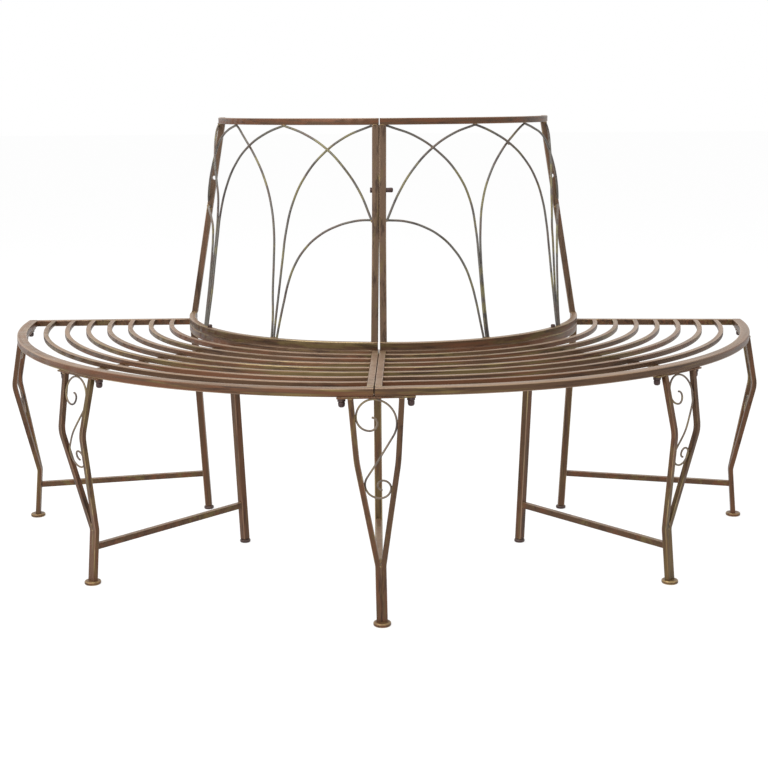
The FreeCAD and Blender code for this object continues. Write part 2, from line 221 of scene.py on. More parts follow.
@dataclass(frozen=True)
class Pattern:
    """Soft random patches: about how many there are in a metre, and their finer layers.

    Patterns of one scale differ by their shift.
    """

    scale: float
    detail: float = 3.0
    shift: float = 0.0

    @property
    def offset(self) -> Colour:
        """The shift along X, Y and Z."""
        x, y, z = (self.shift * share for share in SHIFT_SHARES)
        return x, y, z


# The colour sockets of a Mix node.
MIX_FIRST, MIX_SECOND, MIX_RESULT = 6, 7, 2


class Recipe(Mixer):
    """A material being mixed: one node tree with its finished surface."""

    mean_radius: float = 0.6

    def __init__(self, name: str) -> None:
        """Starts a node tree with a surface and an output.

        Args:
            name: the material's name.
        """
        self.material = bpy.data.materials.new(name)
        super().__init__(self.material)
        self.surface = self.node("ShaderNodeBsdfPrincipled")
        self.node("ShaderNodeOutputMaterial", {"Surface": self.surface.outputs[0]})
        self.place = self.node("ShaderNodeTexCoord").outputs["Object"]

    def parts(self, vector: bpy.types.NodeSocket) -> tuple[Signal, Signal, Signal]:
        """The three numbers of a vector.

        Args:
            vector: the output that gives it.

        Returns:
            Its X, Y and Z.
        """
        split = self.node("ShaderNodeSeparateXYZ", {0: vector})
        x, y, z = (Signal(self, socket) for socket in split.outputs)
        return x, y, z

    def brushed(self, grain: Grain) -> bpy.types.NodeSocket:
        """Places on the surface, drawn out along the way the brush ran.

        Args:
            grain: the way the brush ran.

        Returns:
            The output that patterns read their place from.
        """
        x, y, z = self.parts(self.place)
        if grain is Grain.ROUND_TRUNK:
            forward = TRUNK_Y - y
            x, y = x.turn_from(forward) * self.mean_radius, x.length_with(forward)
        along_x, along_y, along_z = grain.value
        stretched = {0: x * along_x, 1: y * along_y, 2: z * along_z}
        return self.node("ShaderNodeCombineXYZ", stretched).outputs[0]

    def noise(
        self, place: bpy.types.NodeSocket, pattern: Pattern, fineness: float = 1.0
    ) -> Signal:
        """A random pattern.

        Args:
            place: where the pattern is read.
            pattern: its scale, layers and shift.
            fineness: how many times as fine it is drawn.

        Returns:
            A number around 0.5.
        """
        moved = self.node("ShaderNodeVectorMath", {0: place, 1: pattern.offset}, operation="ADD")
        drawn = {"Scale": pattern.scale * fineness, "Detail": pattern.detail}
        node = self.node("ShaderNodeTexNoise", {"Vector": moved.outputs[0], **drawn})
        return Signal(self, node.outputs[0])

    def blend(self, share: Number, first: object, second: object) -> bpy.types.NodeSocket:
        """One colour turning into another by a share.

        Args:
            share: how much of the second shows.
            first: a colour, or the output of another blend.
            second: the same.

        Returns:
            The output that gives the mixed colour.
        """
        start, end = ((*c, 1.0) if isinstance(c, tuple) else c for c in (first, second))
        inputs = {0: share, MIX_FIRST: start, MIX_SECOND: end}
        return self.node("ShaderNodeMix", inputs, data_type="RGBA").outputs[MIX_RESULT]

    def facing_up(self) -> Signal:
        """How far the surface faces up, from -1 to 1."""
        return self.parts(self.node("ShaderNodeNewGeometry").outputs["Normal"])[2]

    def edge_wear_and_glint(self) -> Signal:
        """The mark on the piece's own rounded corners, where paint wears and a highlight is
        painted.
        """
        return Signal(self, self.node("ShaderNodeAttribute", attribute_name=EDGE).outputs["Fac"])

    def set(self, **inputs: object) -> None:
        """Sets inputs of the surface; underscores in a name stand for spaces."""
        for name, value in inputs.items():
            self.feed(self.surface.inputs[name.replace("_", " ")], value)

    def bump(self, height: Signal, strength: float, depth: float) -> None:
        """Raises the surface a little by a height signal."""
        relief = {"Strength": strength, "Distance": depth, "Height": height}
        self.set(Normal=self.node("ShaderNodeBump", relief).outputs[0])


class Slot(enum.Enum):
    """The record's material slots."""

    RUBBED = "rubbed_brown"
    BRONZE = "bronze_brown"
    WIRE = "bronze_wire"
    GOLD = "gold_brown"
    DARK = "dark_fastener"


@dataclass(frozen=True)
class Coat:
    """A finish as it goes on a piece: its material and its slot."""

    material: bpy.types.Material
    slot: Slot


@dataclass(frozen=True)
class BrushedPaint:
    """Brown paint brushed lengthwise with reddish, olive and dark streaks, made pale on top by
    painted top light together with rubbed paint, and with painted highlights on worn rounded edges.

    Shares are parts of 1, and a step is where a pattern starts to show and where it is full.
    """

    name: str
    slot: Slot
    base: Colour = paint(87, 63, 44)
    warm: Colour = paint(108, 67, 43)
    deep: Colour = paint(50, 34, 26)
    gold: Colour = paint(108, 94, 54)
    # The pale colour is that of the painted top light with rubbed paint, and the glint colour that
    # of the painted highlight on worn edges.
    pale: Colour = paint(170, 143, 118)
    glint: Colour = paint(208, 184, 134)
    warm_share: float = 0.7
    gold_share: float = 0.6
    deep_share: float = 0.7
    # How strongly tops are painted pale (painted top light together with rubbed paint), and rounded
    # edges paler (painted highlight together with wear).
    top_light_and_rub: float = 0.72
    edge: float = 0.55
    wear_from: float = 0.38
    wear_width: float = 0.2
    fineness: float = 1.0
    patches: float = 1.0
    grain: Grain = Grain.EVEN
    streaks: Pattern = Pattern(150, 3, 5.2)
    hairs: Pattern = Pattern(560, 2, 3.7)
    hair_relief: float = 0.5
    warm_patches: Pattern = Pattern(14, 2, 1.3)
    warm_patchiness: float = 0.5
    warm_step: Point = (0.49, 0.58)
    gold_streaks: Pattern = Pattern(180, 3, 7.1)
    gold_patches: Pattern = Pattern(11, 2, 9.4)
    gold_patchiness: float = 0.55
    gold_step: Point = (0.51, 0.60)
    deep_streaks: Pattern = Pattern(120, 3, 2.9)
    deep_hairiness: float = 0.3
    deep_step: Point = (0.52, 0.64)
    # Which up-facing slopes get the painted top light, and how patchy its rubbed part is.
    top_light_slope: Point = (0.55, 0.95)
    rub_patches: Pattern = Pattern(60, 3, 9.4)
    rub_patchiness: float = 0.45
    rub_step: Point = (0.3, 0.62)
    top_light_warmth: float = 0.2
    top_light_gold: float = 0.3
    wear_patches: Pattern = Pattern(40, 3, 2.2)
    roughness: float = 0.34
    streak_roughness: float = 0.16
    worn_gloss: float = 0.08
    metallic: float = 0.4
    specular: float = 0.35
    bump_strength: float = 0.2
    bump_depth: float = 0.12 * MM

    def coat(self) -> Coat:
        """Mixes the paint and returns it, ready to use.

        Returns:
            The paint and its slot.
        """
        recipe = Recipe(self.name)
        place, fine = recipe.brushed(self.grain), self.fineness
        streak = recipe.noise(place, self.streaks, fine)
        hair = recipe.noise(place, self.hairs, fine)
        warm = recipe.noise(place, self.warm_patches, self.patches)
        warm = warm.mixed(streak, self.warm_patchiness).fade(*self.warm_step)
        gold = recipe.noise(place, self.gold_patches, self.patches)
        second = recipe.noise(place, self.gold_streaks, fine)
        gold = gold.mixed(second, self.gold_patchiness).fade(*self.gold_step)
        third = recipe.noise(place, self.deep_streaks, fine)
        deep = hair.mixed(third, self.deep_hairiness).fade(*self.deep_step)
        colour = recipe.blend(warm * self.warm_share, self.base, self.warm)
        colour = recipe.blend(gold * self.gold_share, colour, self.gold)
        colour = recipe.blend(deep * self.deep_share, colour, self.deep)

        # Painted top light: faces that point up are blended towards a pale colour, standing in for
        # light from above, with patches of rubbed paint.
        patchy = recipe.noise(place, self.rub_patches).fade(*self.rub_step) * self.rub_patchiness
        rubbed = recipe.facing_up().fade(*self.top_light_slope) * (patchy + (1 - self.rub_patchiness))
        top_light_and_rub_colour = recipe.blend(warm * self.top_light_warmth, self.pale, self.warm)
        top_light_and_rub_colour = recipe.blend(gold * self.top_light_gold, top_light_and_rub_colour, self.gold)
        colour = recipe.blend(rubbed * self.top_light_and_rub, colour, top_light_and_rub_colour)

        # Painted highlight on the rounded edges, together with worn paint: marked corners turn pale
        # gold in patches.
        wear = recipe.noise(place, self.wear_patches)
        wear_and_glint = recipe.edge_wear_and_glint() * wear.fade(self.wear_from, self.wear_from + self.wear_width)
        colour = recipe.blend(
            wear_and_glint * self.edge, colour, recipe.blend(gold, self.pale, self.glint)
        )
        roughness = streak * self.streak_roughness - wear_and_glint * self.worn_gloss + self.roughness
        recipe.set(Base_Color=colour, Metallic=self.metallic, Roughness=roughness)
        recipe.set(Specular_IOR_Level=self.specular)
        recipe.bump(hair * self.hair_relief + streak, self.bump_strength, self.bump_depth)
        return Coat(recipe.material, self.slot)


@dataclass(frozen=True)
class DarkPlating:
    """The dark satin finish of bolts, nuts and small caps."""

    name: str = "dark_fastener"
    slot: Slot = Slot.DARK
    base: Colour = paint(66, 48, 47)
    cloudy: Colour = paint(84, 68, 58)
    # The paler edge colour: wear together with a painted highlight on the marked edges.
    wear_and_glint: Colour = paint(118, 100, 86)
    clouds: Pattern = Pattern(240, 4)
    cloud_step: Point = (0.4, 0.7)
    cloud_share: float = 0.5
    wear: Pattern = Pattern(500, 3, 4.0)
    wear_step: Point = (0.4, 0.6)
    wear_share: float = 0.6
    metallic: float = 0.45
    roughness: float = 0.38
    cloud_roughness: float = 0.14
    bump_strength: float = 0.2
    bump_depth: float = 0.1 * MM

    def coat(self) -> Coat:
        """Mixes the finish and returns it, ready to use.

        Returns:
            The finish and its slot.
        """
        recipe = Recipe(self.name)
        cloud = recipe.noise(recipe.place, self.clouds)
        # Painted highlight together with wear on the marked edges.
        wear_and_glint = recipe.edge_wear_and_glint() * recipe.noise(recipe.place, self.wear).fade(*self.wear_step)
        shown = cloud.fade(*self.cloud_step) * self.cloud_share
        colour = recipe.blend(shown, self.base, self.cloudy)
        colour = recipe.blend(wear_and_glint * self.wear_share, colour, self.wear_and_glint)
        roughness = cloud * self.cloud_roughness + self.roughness
        recipe.set(Base_Color=colour, Metallic=self.metallic, Roughness=roughness)
        recipe.bump(cloud, self.bump_strength, self.bump_depth)
        return Coat(recipe.material, self.slot)


@dataclass(frozen=True)
class WeldMetal:
    """Painted weld beads: rippled, with gold rubbed over the crests."""

    name: str = "weld_bead"
    slot: Slot = Slot.GOLD
    base: Colour = paint(104, 80, 58)
    gold: Colour = paint(156, 134, 90)
    ripples: Pattern = Pattern(700, 3)
    crest_step: Point = (0.44, 0.62)
    metallic: float = 0.4
    roughness: float = 0.34
    ripple_roughness: float = 0.2
    bump_strength: float = 0.5
    bump_depth: float = 0.4 * MM

    def coat(self) -> Coat:
        """Mixes the finish and returns it, ready to use.

        Returns:
            The finish and its slot.
        """
        recipe = Recipe(self.name)
        ripple = recipe.noise(recipe.place, self.ripples)
        colour = recipe.blend(ripple.fade(*self.crest_step), self.base, self.gold)
        roughness = ripple * self.ripple_roughness + self.roughness
        recipe.set(Base_Color=colour, Metallic=self.metallic, Roughness=roughness)
        recipe.bump(ripple, self.bump_strength, self.bump_depth)
        return Coat(recipe.material, self.slot)


def clear_selection() -> None:
    """Deselects everything in the scene."""
    bpy.ops.object.select_all(action="DESELECT")


def take(piece: bpy.types.Object) -> None:
    """Selects one piece alone and makes it active.

    Args:
        piece: the piece.
    """
    clear_selection()
    piece.select_set(True)
    bpy.context.view_layer.objects.active = piece


@contextlib.contextmanager
def editing(
    piece: bpy.types.Object, picks: Optional[Callable[..., bool]] = None, by: str = "VERT"
) -> Iterator[None]:
    """Edit mode on one piece, with its whole mesh selected or what a test picks.

    Args:
        piece: the piece.
        picks: the test of a corner or a face.
        by: "VERT" to select corners, "FACE" to select faces.

    Returns:
        A context that ends in object mode.
    """
    take(piece)
    bpy.ops.object.mode_set(mode="EDIT")
    bpy.ops.mesh.select_mode(type=by)
    bpy.ops.mesh.select_all(action="DESELECT" if picks else "SELECT")
    if picks:
        bpy.ops.object.mode_set(mode="OBJECT")
        for element in piece.data.polygons if by == "FACE" else piece.data.vertices:
            element.select = picks(element)
        bpy.ops.object.mode_set(mode="EDIT")
    yield
    bpy.ops.object.mode_set(mode="OBJECT")


def settle(piece: bpy.types.Object) -> None:
    """Moves a piece's place, turn and scale into its mesh."""
    take(piece)
    bpy.ops.object.transform_apply(location=True, rotation=True, scale=True)


def at_turn(turn: float, radius: float, height: float) -> Vector:
    """A point round the trunk.

    Args:
        turn: degrees from the middle seam, to the right.
        radius: distance from the trunk's axis.
        height: height above the floor.

    Returns:
        The point in the row frame.
    """
    angle = math.radians(turn)
    return Vector((radius * math.sin(angle), TRUNK_Y - radius * math.cos(angle), height))


def outward(turn: float) -> Vector:
    """The level direction away from the trunk at a turn."""
    angle = math.radians(turn)
    return Vector((math.sin(angle), -math.cos(angle), 0))


@dataclass(frozen=True)
class Section:
    """A bar's cross-section with rounded corners, in metres."""

    width: float
    height: float
    corner: float
    segments: int = 3

    def sheet(self, centre: Vector, rotation: tuple[float, float, float]) -> bpy.types.Object:
        """The section as a flat face, rounded at its corners.

        Args:
            centre: the face's middle.
            rotation: its turn; unturned, width runs along Y and height along X.

        Returns:
            The new piece.
        """
        clear_selection()
        bpy.ops.mesh.primitive_plane_add(size=1, location=centre, rotation=rotation)
        piece = bpy.context.object
        piece.scale = (self.height, self.width, 1)
        settle(piece)
        with editing(piece):
            bpy.ops.mesh.bevel(offset=self.corner, segments=self.segments, affect="VERTICES")
        return piece


def cut(piece: bpy.types.Object, point: Sequence[float], away: Vector) -> None:
    """Cuts a piece by a plane, drops the side that away points to and closes the cut."""
    with editing(piece):
        bpy.ops.mesh.bisect(plane_co=point, plane_no=away, use_fill=True, clear_outer=True)


# A bar round the trunk is spun a little past a quarter turn, so that both its ends can be cut.
SPIN_STEPS = 72
SPIN_TURN = 92.0


def quarter(
    section: Section, radius: float, low: float, seam: float, end: float
) -> bpy.types.Object:
    """A bar of the right-hand module, bent round the trunk and cut at its two ends.

    Args:
        section: its cross-section.
        radius: distance of its middle from the trunk's axis.
        low: height of its underside.
        seam: where it starts, to the right of the seam.
        end: where it ends, in front of the flat side.

    Returns:
        The new piece.
    """
    middle = low + section.height / 2
    piece = section.sheet(at_turn(0, radius, middle), (0, math.pi / 2, 0))
    with editing(piece):
        turn = -math.radians(SPIN_TURN)
        bpy.ops.mesh.spin(steps=SPIN_STEPS, angle=turn, center=(0, TRUNK_Y, 0), axis=UP)
    cut(piece, (seam, 0, 0), LEFT)
    cut(piece, (0, TRUNK_Y - end, 0), REAR)
    return piece


# How near a face lies to a plane that it is on, and how squarely it faces the same way.
ON_PLANE = 0.05 * MM
SQUARE_ON = 0.9


def open_end(
    piece: bpy.types.Object, point: Vector, away: Vector, wall: float, depth: float
) -> None:
    """Hollows a bar's cut end, so that it shows as a tube.

    Args:
        piece: the bar.
        point: a point of the end's plane.
        away: the way that the end faces.
        wall: thickness of the tube's wall.
        depth: how far the hollow is modelled.
    """

    def at_end(face: bpy.types.MeshPolygon) -> bool:
        """Whether a face closes the end."""
        near = (face.center - point).dot(away) > -ON_PLANE
        return near and abs(face.normal.dot(away)) > SQUARE_ON

    with editing(piece, at_end, "FACE"):
        bpy.ops.mesh.inset(thickness=wall, depth=0)
        bpy.ops.mesh.extrude_region_move(TRANSFORM_OT_translate={"value": -away * depth})


def block(low: Sequence[float], high: Sequence[float]) -> bpy.types.Object:
    """A box between two corners, to be shaped further.

    Args:
        low: its lowest corner.
        high: its highest corner.

    Returns:
        The new piece.
    """
    low, high = Vector(low), Vector(high)
    clear_selection()
    bpy.ops.mesh.primitive_cube_add(size=1, location=(low + high) / 2)
    piece = bpy.context.object
    piece.scale = high - low
    settle(piece)
    return piece


def rod(
    sides: int,
    width: float,
    length: float,
    centre: Sequence[float],
    rotation: tuple[float, float, float] = (0, 0, 0),
) -> bpy.types.Object:
    """A round or many-sided rod, to be shaped further.

    Args:
        sides: how many sides it has.
        width: its width over the corners.
        length: its length.
        centre: its middle.
        rotation: its turn; unturned, it stands upright.

    Returns:
        The new piece.
    """
    clear_selection()
    bpy.ops.mesh.primitive_cylinder_add(
        vertices=sides, radius=width / 2, depth=length, location=centre, rotation=rotation
    )
    piece = bpy.context.object
    settle(piece)
    return piece


def modify(piece: bpy.types.Object, kind: str, **settings: object) -> None:
    """Adds a modifier and applies it.

    Args:
        piece: the piece.
        kind: the modifier's type.
        **settings: its settings.
    """
    take(piece)
    modifier = piece.modifiers.new(kind.lower(), kind)
    for name, value in settings.items():
        setattr(modifier, name, value)
    bpy.ops.object.modifier_apply(modifier=modifier.name)


SHARP_ANGLE = math.radians(40)


def ease(piece: bpy.types.Object, width: float, segments: int = 3) -> None:
    """Rounds the sharp edges of a piece."""
    limits = {"limit_method": "ANGLE", "angle_limit": SHARP_ANGLE}
    modify(piece, "BEVEL", width=width, segments=segments, **limits)


def nudge(piece: bpy.types.Object, picks: Callable[[Vector], bool], shift: Vector) -> None:
    """Shifts the corners that a test of their places picks, so that an upright block leans."""
    with editing(piece, lambda corner: picks(corner.co)):
        bpy.ops.transform.translate(value=shift)


def sideways(drift: float, low: float, high: float) -> Matrix:
    """A level slide that grows from nothing at one height to a drift at another.

    Args:
        drift: how far it slides.
        low: where the slide starts.
        high: where it is full.

    Returns:
        The move.
    """
    slide = Matrix.Identity(4)
    slide[0][2] = drift / (high - low)
    slide[0][3] = -slide[0][2] * low
    return slide


def step_aside(piece: bpy.types.Object, drift: float, height: float) -> bpy.types.Object:
    """Sets a leg's foot aside, at the seam: the drift fades out up to a height.

    Args:
        piece: a piece of the leg.
        drift: how far the foot stands to the right.
        height: where the drift ends.

    Returns:
        The same piece.
    """
    for vert in piece.data.vertices:
        vert.co.x += drift * max(0.0, 1 - vert.co.z / height)
    return piece


def twin(piece: bpy.types.Object, matrix: Matrix) -> bpy.types.Object:
    """A copy with its own mesh, moved by a matrix and turned right side out if that mirrors it.

    Args:
        piece: the piece that is copied.
        matrix: the move.

    Returns:
        The copy.
    """
    copy = piece.copy()
    copy.data = piece.data.copy()
    bpy.context.scene.collection.objects.link(copy)
    copy.data.transform(matrix)
    if matrix.determinant() < 0:
        copy.data.flip_normals()
    return copy


def round_trunk(turn: float) -> Matrix:
    """The move that carries a piece from the seam round the trunk.

    Args:
        turn: degrees to the right.

    Returns:
        The move.
    """
    centre = REAR * TRUNK_Y
    turning = Matrix.Rotation(math.radians(turn), 4, "Z")
    return Matrix.Translation(centre) @ turning @ Matrix.Translation(-centre)


# How much two lengths that count as equal may differ, as a share.
ALIKE = 0.05


def mark_edges(piece: bpy.types.Object, narrow: float, flat: float = 0.0) -> None:
    """Stores a 1 on corners that only narrow faces meet, where paint wears off and where a
    highlight is painted.

    Args:
        piece: the piece to mark.
        narrow: the widest that a rounding's face may be.
        flat: length of the faces that run across a bend, which count as wide.
    """
    mesh = bmesh.new()
    mesh.from_mesh(piece.data)
    layer = mesh.verts.layers.float.new(EDGE)

    def width(face: bmesh.types.BMFace) -> float:
        """A face's width across its longest edge."""
        longest = max(edge.calc_length() for edge in face.edges)
        return longest if abs(longest - flat) < ALIKE * flat else face.calc_area() / longest

    for vert in mesh.verts:
        widest = max((width(face) for face in vert.link_faces), default=1.0)
        vert[layer] = 1.0 if widest < narrow else 0.0
    mesh.to_mesh(piece.data)
    mesh.free()


DOUBLED = 0.005 * MM
BAR_ANGLE = 38.0
ROUND_ANGLE = 60.0
NORMAL_WEIGHT = 80


def smooth(piece: bpy.types.Object, angle: float = BAR_ANGLE) -> None:
    """Merges doubled corners, points faces outwards and shades roundings smooth.

    Args:
        piece: the piece.
        angle: degrees up to which an edge is shaded smooth.
    """
    with editing(piece):
        bpy.ops.mesh.remove_doubles(threshold=DOUBLED)
        bpy.ops.mesh.normals_make_consistent(inside=False)
    take(piece)
    bpy.ops.object.shade_smooth_by_angle(angle=math.radians(angle))
    modify(piece, "WEIGHTED_NORMAL", keep_sharp=True, weight=NORMAL_WEIGHT)


# A rounding's faces are narrower than this share of its radius.
ROUNDING = 0.8


def finished(piece: bpy.types.Object, corner: float, flat: float = 0.0) -> bpy.types.Object:
    """Cleans a bar's shading and marks its rounded corners, whose radius is given, for wear and a
    painted highlight.

    Args:
        piece: the bar.
        corner: the radius of its rounded corners.
        flat: length of the faces that run across a bend.

    Returns:
        The same piece.
    """
    smooth(piece)
    mark_edges(piece, corner * ROUNDING, flat)
    return piece


@dataclass(frozen=True)
class Stance:
    """How the bench stands, as it was set up by hand: each module tilts by a few millimetres.

    A side's three numbers are millimetres: the rise at the front of the seam, and what one seat
    radius adds to it sideways and towards the flat side.
    """

    left: tuple[float, float, float] = (-1.4, -7.3, 11.0)
    right: tuple[float, float, float] = (0.85, -4.8, 3.1)
    blend: float = 60 * MM
    seat: float = 433 * MM
    held: float = 455 * MM
    gone: float = 530 * MM

    def rise(self, place: Vector) -> float:
        """How far a point is lifted: fully at the seat, less below, and not in the upper back.

        Args:
            place: the point.

        Returns:
            The lift in metres.
        """
        aside = abs(place.x) / SEAT_RADIUS
        back = (place.y - TRUNK_Y) / SEAT_RADIUS + 1
        left, right = (
            start + wide * aside + deep * back for start, wide, deep in (self.left, self.right)
        )
        share = min(1.0, max(0.0, 0.5 + place.x / (2 * self.blend)))
        fading = min(1.0, max(0.0, (self.gone - place.z) / (self.gone - self.held)))
        return (left + (right - left) * share) * min(1.0, place.z / self.seat) * fading * MM

    def settle(self, piece: bpy.types.Object) -> None:
        """Lifts every corner of a piece by its rise."""
        for vert in piece.data.vertices:
            vert.co.z += self.rise(vert.co)


STANCE = Stance()


def show(piece: bpy.types.Object, name: str, coat: Coat, nodes: Sequence[str] = ()) -> None:
    """Names and paints a finished piece, and puts it on the bench.

    Args:
        piece: the piece, at its place.
        name: its name.
        coat: its finish.
        nodes: the CAD nodes it stands for.
    """
    STANCE.settle(piece)
    piece.name = name
    piece.data.name = name
    piece.data.materials.clear()
    piece.data.materials.append(coat.material)
    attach(piece, BODY)
    if nodes:
        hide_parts(*nodes)
    faces, stands_for = len(piece.data.polygons), ", ".join(nodes) or "nothing"
    log.info("%s: %d faces, stands for %s", name, faces, stands_for)


def dress(piece: bpy.types.Object, node: str, coat: Coat) -> None:
    """Puts a finished piece on the bench in the place of a CAD node."""
    show(piece, "dressed_" + node, coat, [node])


def pair(
    right: bpy.types.Object,
    corner: float,
    node: str,
    coat: Coat,
    drifts: Sequence[Matrix] = (STILL, STILL),
) -> None:
    """Finishes a right-hand bar and puts it on the bench with its left-hand twin.

    Args:
        right: the right-hand bar.
        corner: the radius of its rounded corners.
        node: the CAD nodes' name after their side.
        coat: their finish.
        drifts: small moves of the left and the right piece, as they were set by hand.
    """
    left = twin(finished(right, corner), MIRROR)
    left.data.transform(drifts[0])
    right.data.transform(drifts[1])
    dress(right, "right_" + node, coat)
    dress(left, "left_" + node, coat)


def remove(*pieces: bpy.types.Object) -> None:
    """Deletes patterns that were only copied from."""
    for piece in pieces:
        bpy.data.objects.remove(piece, do_unlink=True)


def merged(pieces: Sequence[bpy.types.Object]) -> bpy.types.Object:
    """Joins pieces into one object and returns it.

    Args:
        pieces: the pieces, which are used up.

    Returns:
        The one piece.
    """
    clear_selection()
    for piece in pieces:
        piece.select_set(True)
    bpy.context.view_layer.objects.active = pieces[0]
    bpy.ops.object.join()
    return bpy.context.object


# A bend uses no more than a share of a run, and has a point every few degrees.
BEND_SHARE = 0.45
BEND_STEP = 3.0


def bent_run(corners: Sequence[Vector], bends: Sequence[float]) -> list[Vector]:
    """The centreline of a bar bent at its corners.

    Args:
        corners: where straight runs would meet, with the two ends.
        bends: radius of the bend at each corner between the ends.

    Returns:
        The points of the centreline.
    """
    points = [corners[0]]
    for before, corner, after, bend in zip(corners, corners[1:], corners[2:], bends):
        arrive, leave = corner - before, after - corner
        reach = BEND_SHARE * min(arrive.length, leave.length)
        arrive.normalize()
        leave.normalize()
        half_turn = arrive.angle(leave) / 2
        reach = min(reach, bend * math.tan(half_turn))
        radius = reach / math.tan(half_turn)
        start = corner - arrive * reach
        axis = arrive.cross(leave).normalized()
        centre = start + axis.cross(arrive) * radius
        count = max(2, math.ceil(math.degrees(2 * half_turn) / BEND_STEP))
        for k in range(count + 1):
            turn = Matrix.Rotation(2 * half_turn * k / count, 3, axis)
            points.append(centre + turn @ (start - centre))
    points.append(corners[-1])
    return points


# Steps between two points of an eased wire, and steps round a quarter of a wire.
WIRE_STEPS = 8
WIRE_ROUNDNESS = 3


def drawn_wire(
    points: Sequence[Vector], diameter: float, eased: bool = False
) -> bpy.types.Object:
    """A round wire along its centreline, as a mesh.

    Args:
        points: the centreline.
        diameter: the wire's thickness.
        eased: whether the wire swings smoothly through the points instead of running straight.

    Returns:
        The new piece.
    """
    clear_selection()
    bpy.ops.curve.primitive_bezier_curve_add()
    piece = bpy.context.object
    curve = piece.data
    fill_curve(curve, points, eased)
    curve.bevel_depth = diameter / 2
    curve.bevel_resolution = WIRE_ROUNDNESS
    curve.use_fill_caps = True
    take(piece)
    bpy.ops.object.convert(target="MESH")
    return bpy.context.object


def fill_curve(curve: bpy.types.Curve, points: Sequence[Vector], eased: bool = False) -> None:
    """Gives a curve one run through the points, straight or eased between them.

    Args:
        curve: the curve.
        points: what it runs through.
        eased: whether it swings smoothly.
    """
    curve.splines.clear()
    curve.dimensions = "3D"
    curve.resolution_u = WIRE_STEPS
    run = curve.splines.new("BEZIER" if eased else "POLY")
    knots = run.bezier_points if eased else run.points
    knots.add(len(points) - 1)
    for knot, point in zip(knots, points):
        knot.co = point if eased else (*point, 1)
        if eased:
            knot.handle_left_type = knot.handle_right_type = "AUTO"


def drawn_bar(points: Sequence[Vector], section: Section) -> bpy.types.Object:
    """A square bar along a centreline that runs mostly along Y, its sides kept level.

    Args:
        points: the centreline.
        section: the bar's cross-section.

    Returns:
        The new piece.
    """
    outline = section.sheet(Vector(), (0, 0, 0))
    with editing(outline):
        bpy.ops.mesh.delete(type="ONLY_FACE")
    take(outline)
    bpy.ops.object.convert(target="CURVE")
    outline = bpy.context.object
    clear_selection()
    bpy.ops.curve.primitive_bezier_curve_add()
    piece = bpy.context.object
    fill_curve(piece.data, points)
    piece.data.twist_mode = "Z_UP"
    piece.data.bevel_mode = "OBJECT"
    piece.data.bevel_object = outline
    piece.data.use_fill_caps = True
    take(piece)
    bpy.ops.object.convert(target="MESH")
    piece = bpy.context.object
    remove(outline)
    return piece


@dataclass(frozen=True)
class Finishes:
    """Every finish of the bench."""

    rubbed: Coat
    rubbed_round: Coat
    rim: Coat
    upright: Coat
    post: Coat
    round_rail: Coat
    level: Coat
    wire: Coat
    scroll: Coat
    foot: Coat
    dark: Coat
    weld: Coat

    @staticmethod
    def mixed() -> "Finishes":
        """Mixes all the finishes once.

        Returns:
            The finishes.
        """
        rubbed = BrushedPaint("rubbed_brown", Slot.RUBBED)
        rubbed_round = replace(
            rubbed, name="rubbed_brown_round", grain=Grain.ROUND_TRUNK, patches=1.9
        )
        # The rim's rounded edges get a stronger pale gold: painted highlight together with wear.
        rim = replace(
            rubbed,
            name="rubbed_brown_rim",
            gold=paint(120, 102, 60),
            gold_share=0.75,
            top_light_and_rub=0.62,
            edge=0.75,
            grain=Grain.ROUND_TRUNK,
        )
        bronze = BrushedPaint("bronze_brown", Slot.BRONZE, top_light_and_rub=0.5, gold_share=0.45)
        upright = replace(
            bronze, name="bronze_brown_upright", warm_share=0.5, grain=Grain.UPRIGHT
        )
        post = replace(
            upright,
            name="bronze_brown_post",
            base=paint(100, 79, 62),
            warm=paint(120, 80, 58),
        )
        round_rail = replace(bronze, name="bronze_brown_round", grain=Grain.ROUND_TRUNK)
        level = BrushedPaint(
            "bronze_brown_level", Slot.BRONZE, top_light_and_rub=0.6, edge=0.35, fineness=0.45, deep_share=0.45
        )
        wire = BrushedPaint(
            "bronze_wire",
            Slot.WIRE,
            base=paint(100, 96, 90),
            warm=paint(102, 88, 80),
            deep=paint(66, 60, 60),
            gold=paint(134, 126, 82),
            fineness=0.2,
            top_light_and_rub=0.35,
        )
        scroll = replace(
            wire,
            name="bronze_scroll",
            base=paint(118, 104, 90),
            gold=paint(140, 124, 86),
            top_light_and_rub=0.5,
        )
        # The foot's rounded top edge is painted pale gold nearly all round: painted highlight
        # together with wear.
        foot = BrushedPaint(
            "gold_brown",
            Slot.GOLD,
            gold=paint(120, 98, 60),
            pale=paint(160, 133, 94),
            glint=paint(192, 164, 112),
            gold_share=0.5,
            top_light_and_rub=0.42,
            wear_from=0.1,
        )
        return Finishes(
            rubbed=rubbed.coat(),
            rubbed_round=rubbed_round.coat(),
            rim=rim.coat(),
            upright=upright.coat(),
            post=post.coat(),
            round_rail=round_rail.coat(),
            level=level.coat(),
            wire=wire.coat(),
            scroll=scroll.coat(),
            foot=foot.coat(),
            dark=DarkPlating().coat(),
            weld=WeldMetal().coat(),
        )


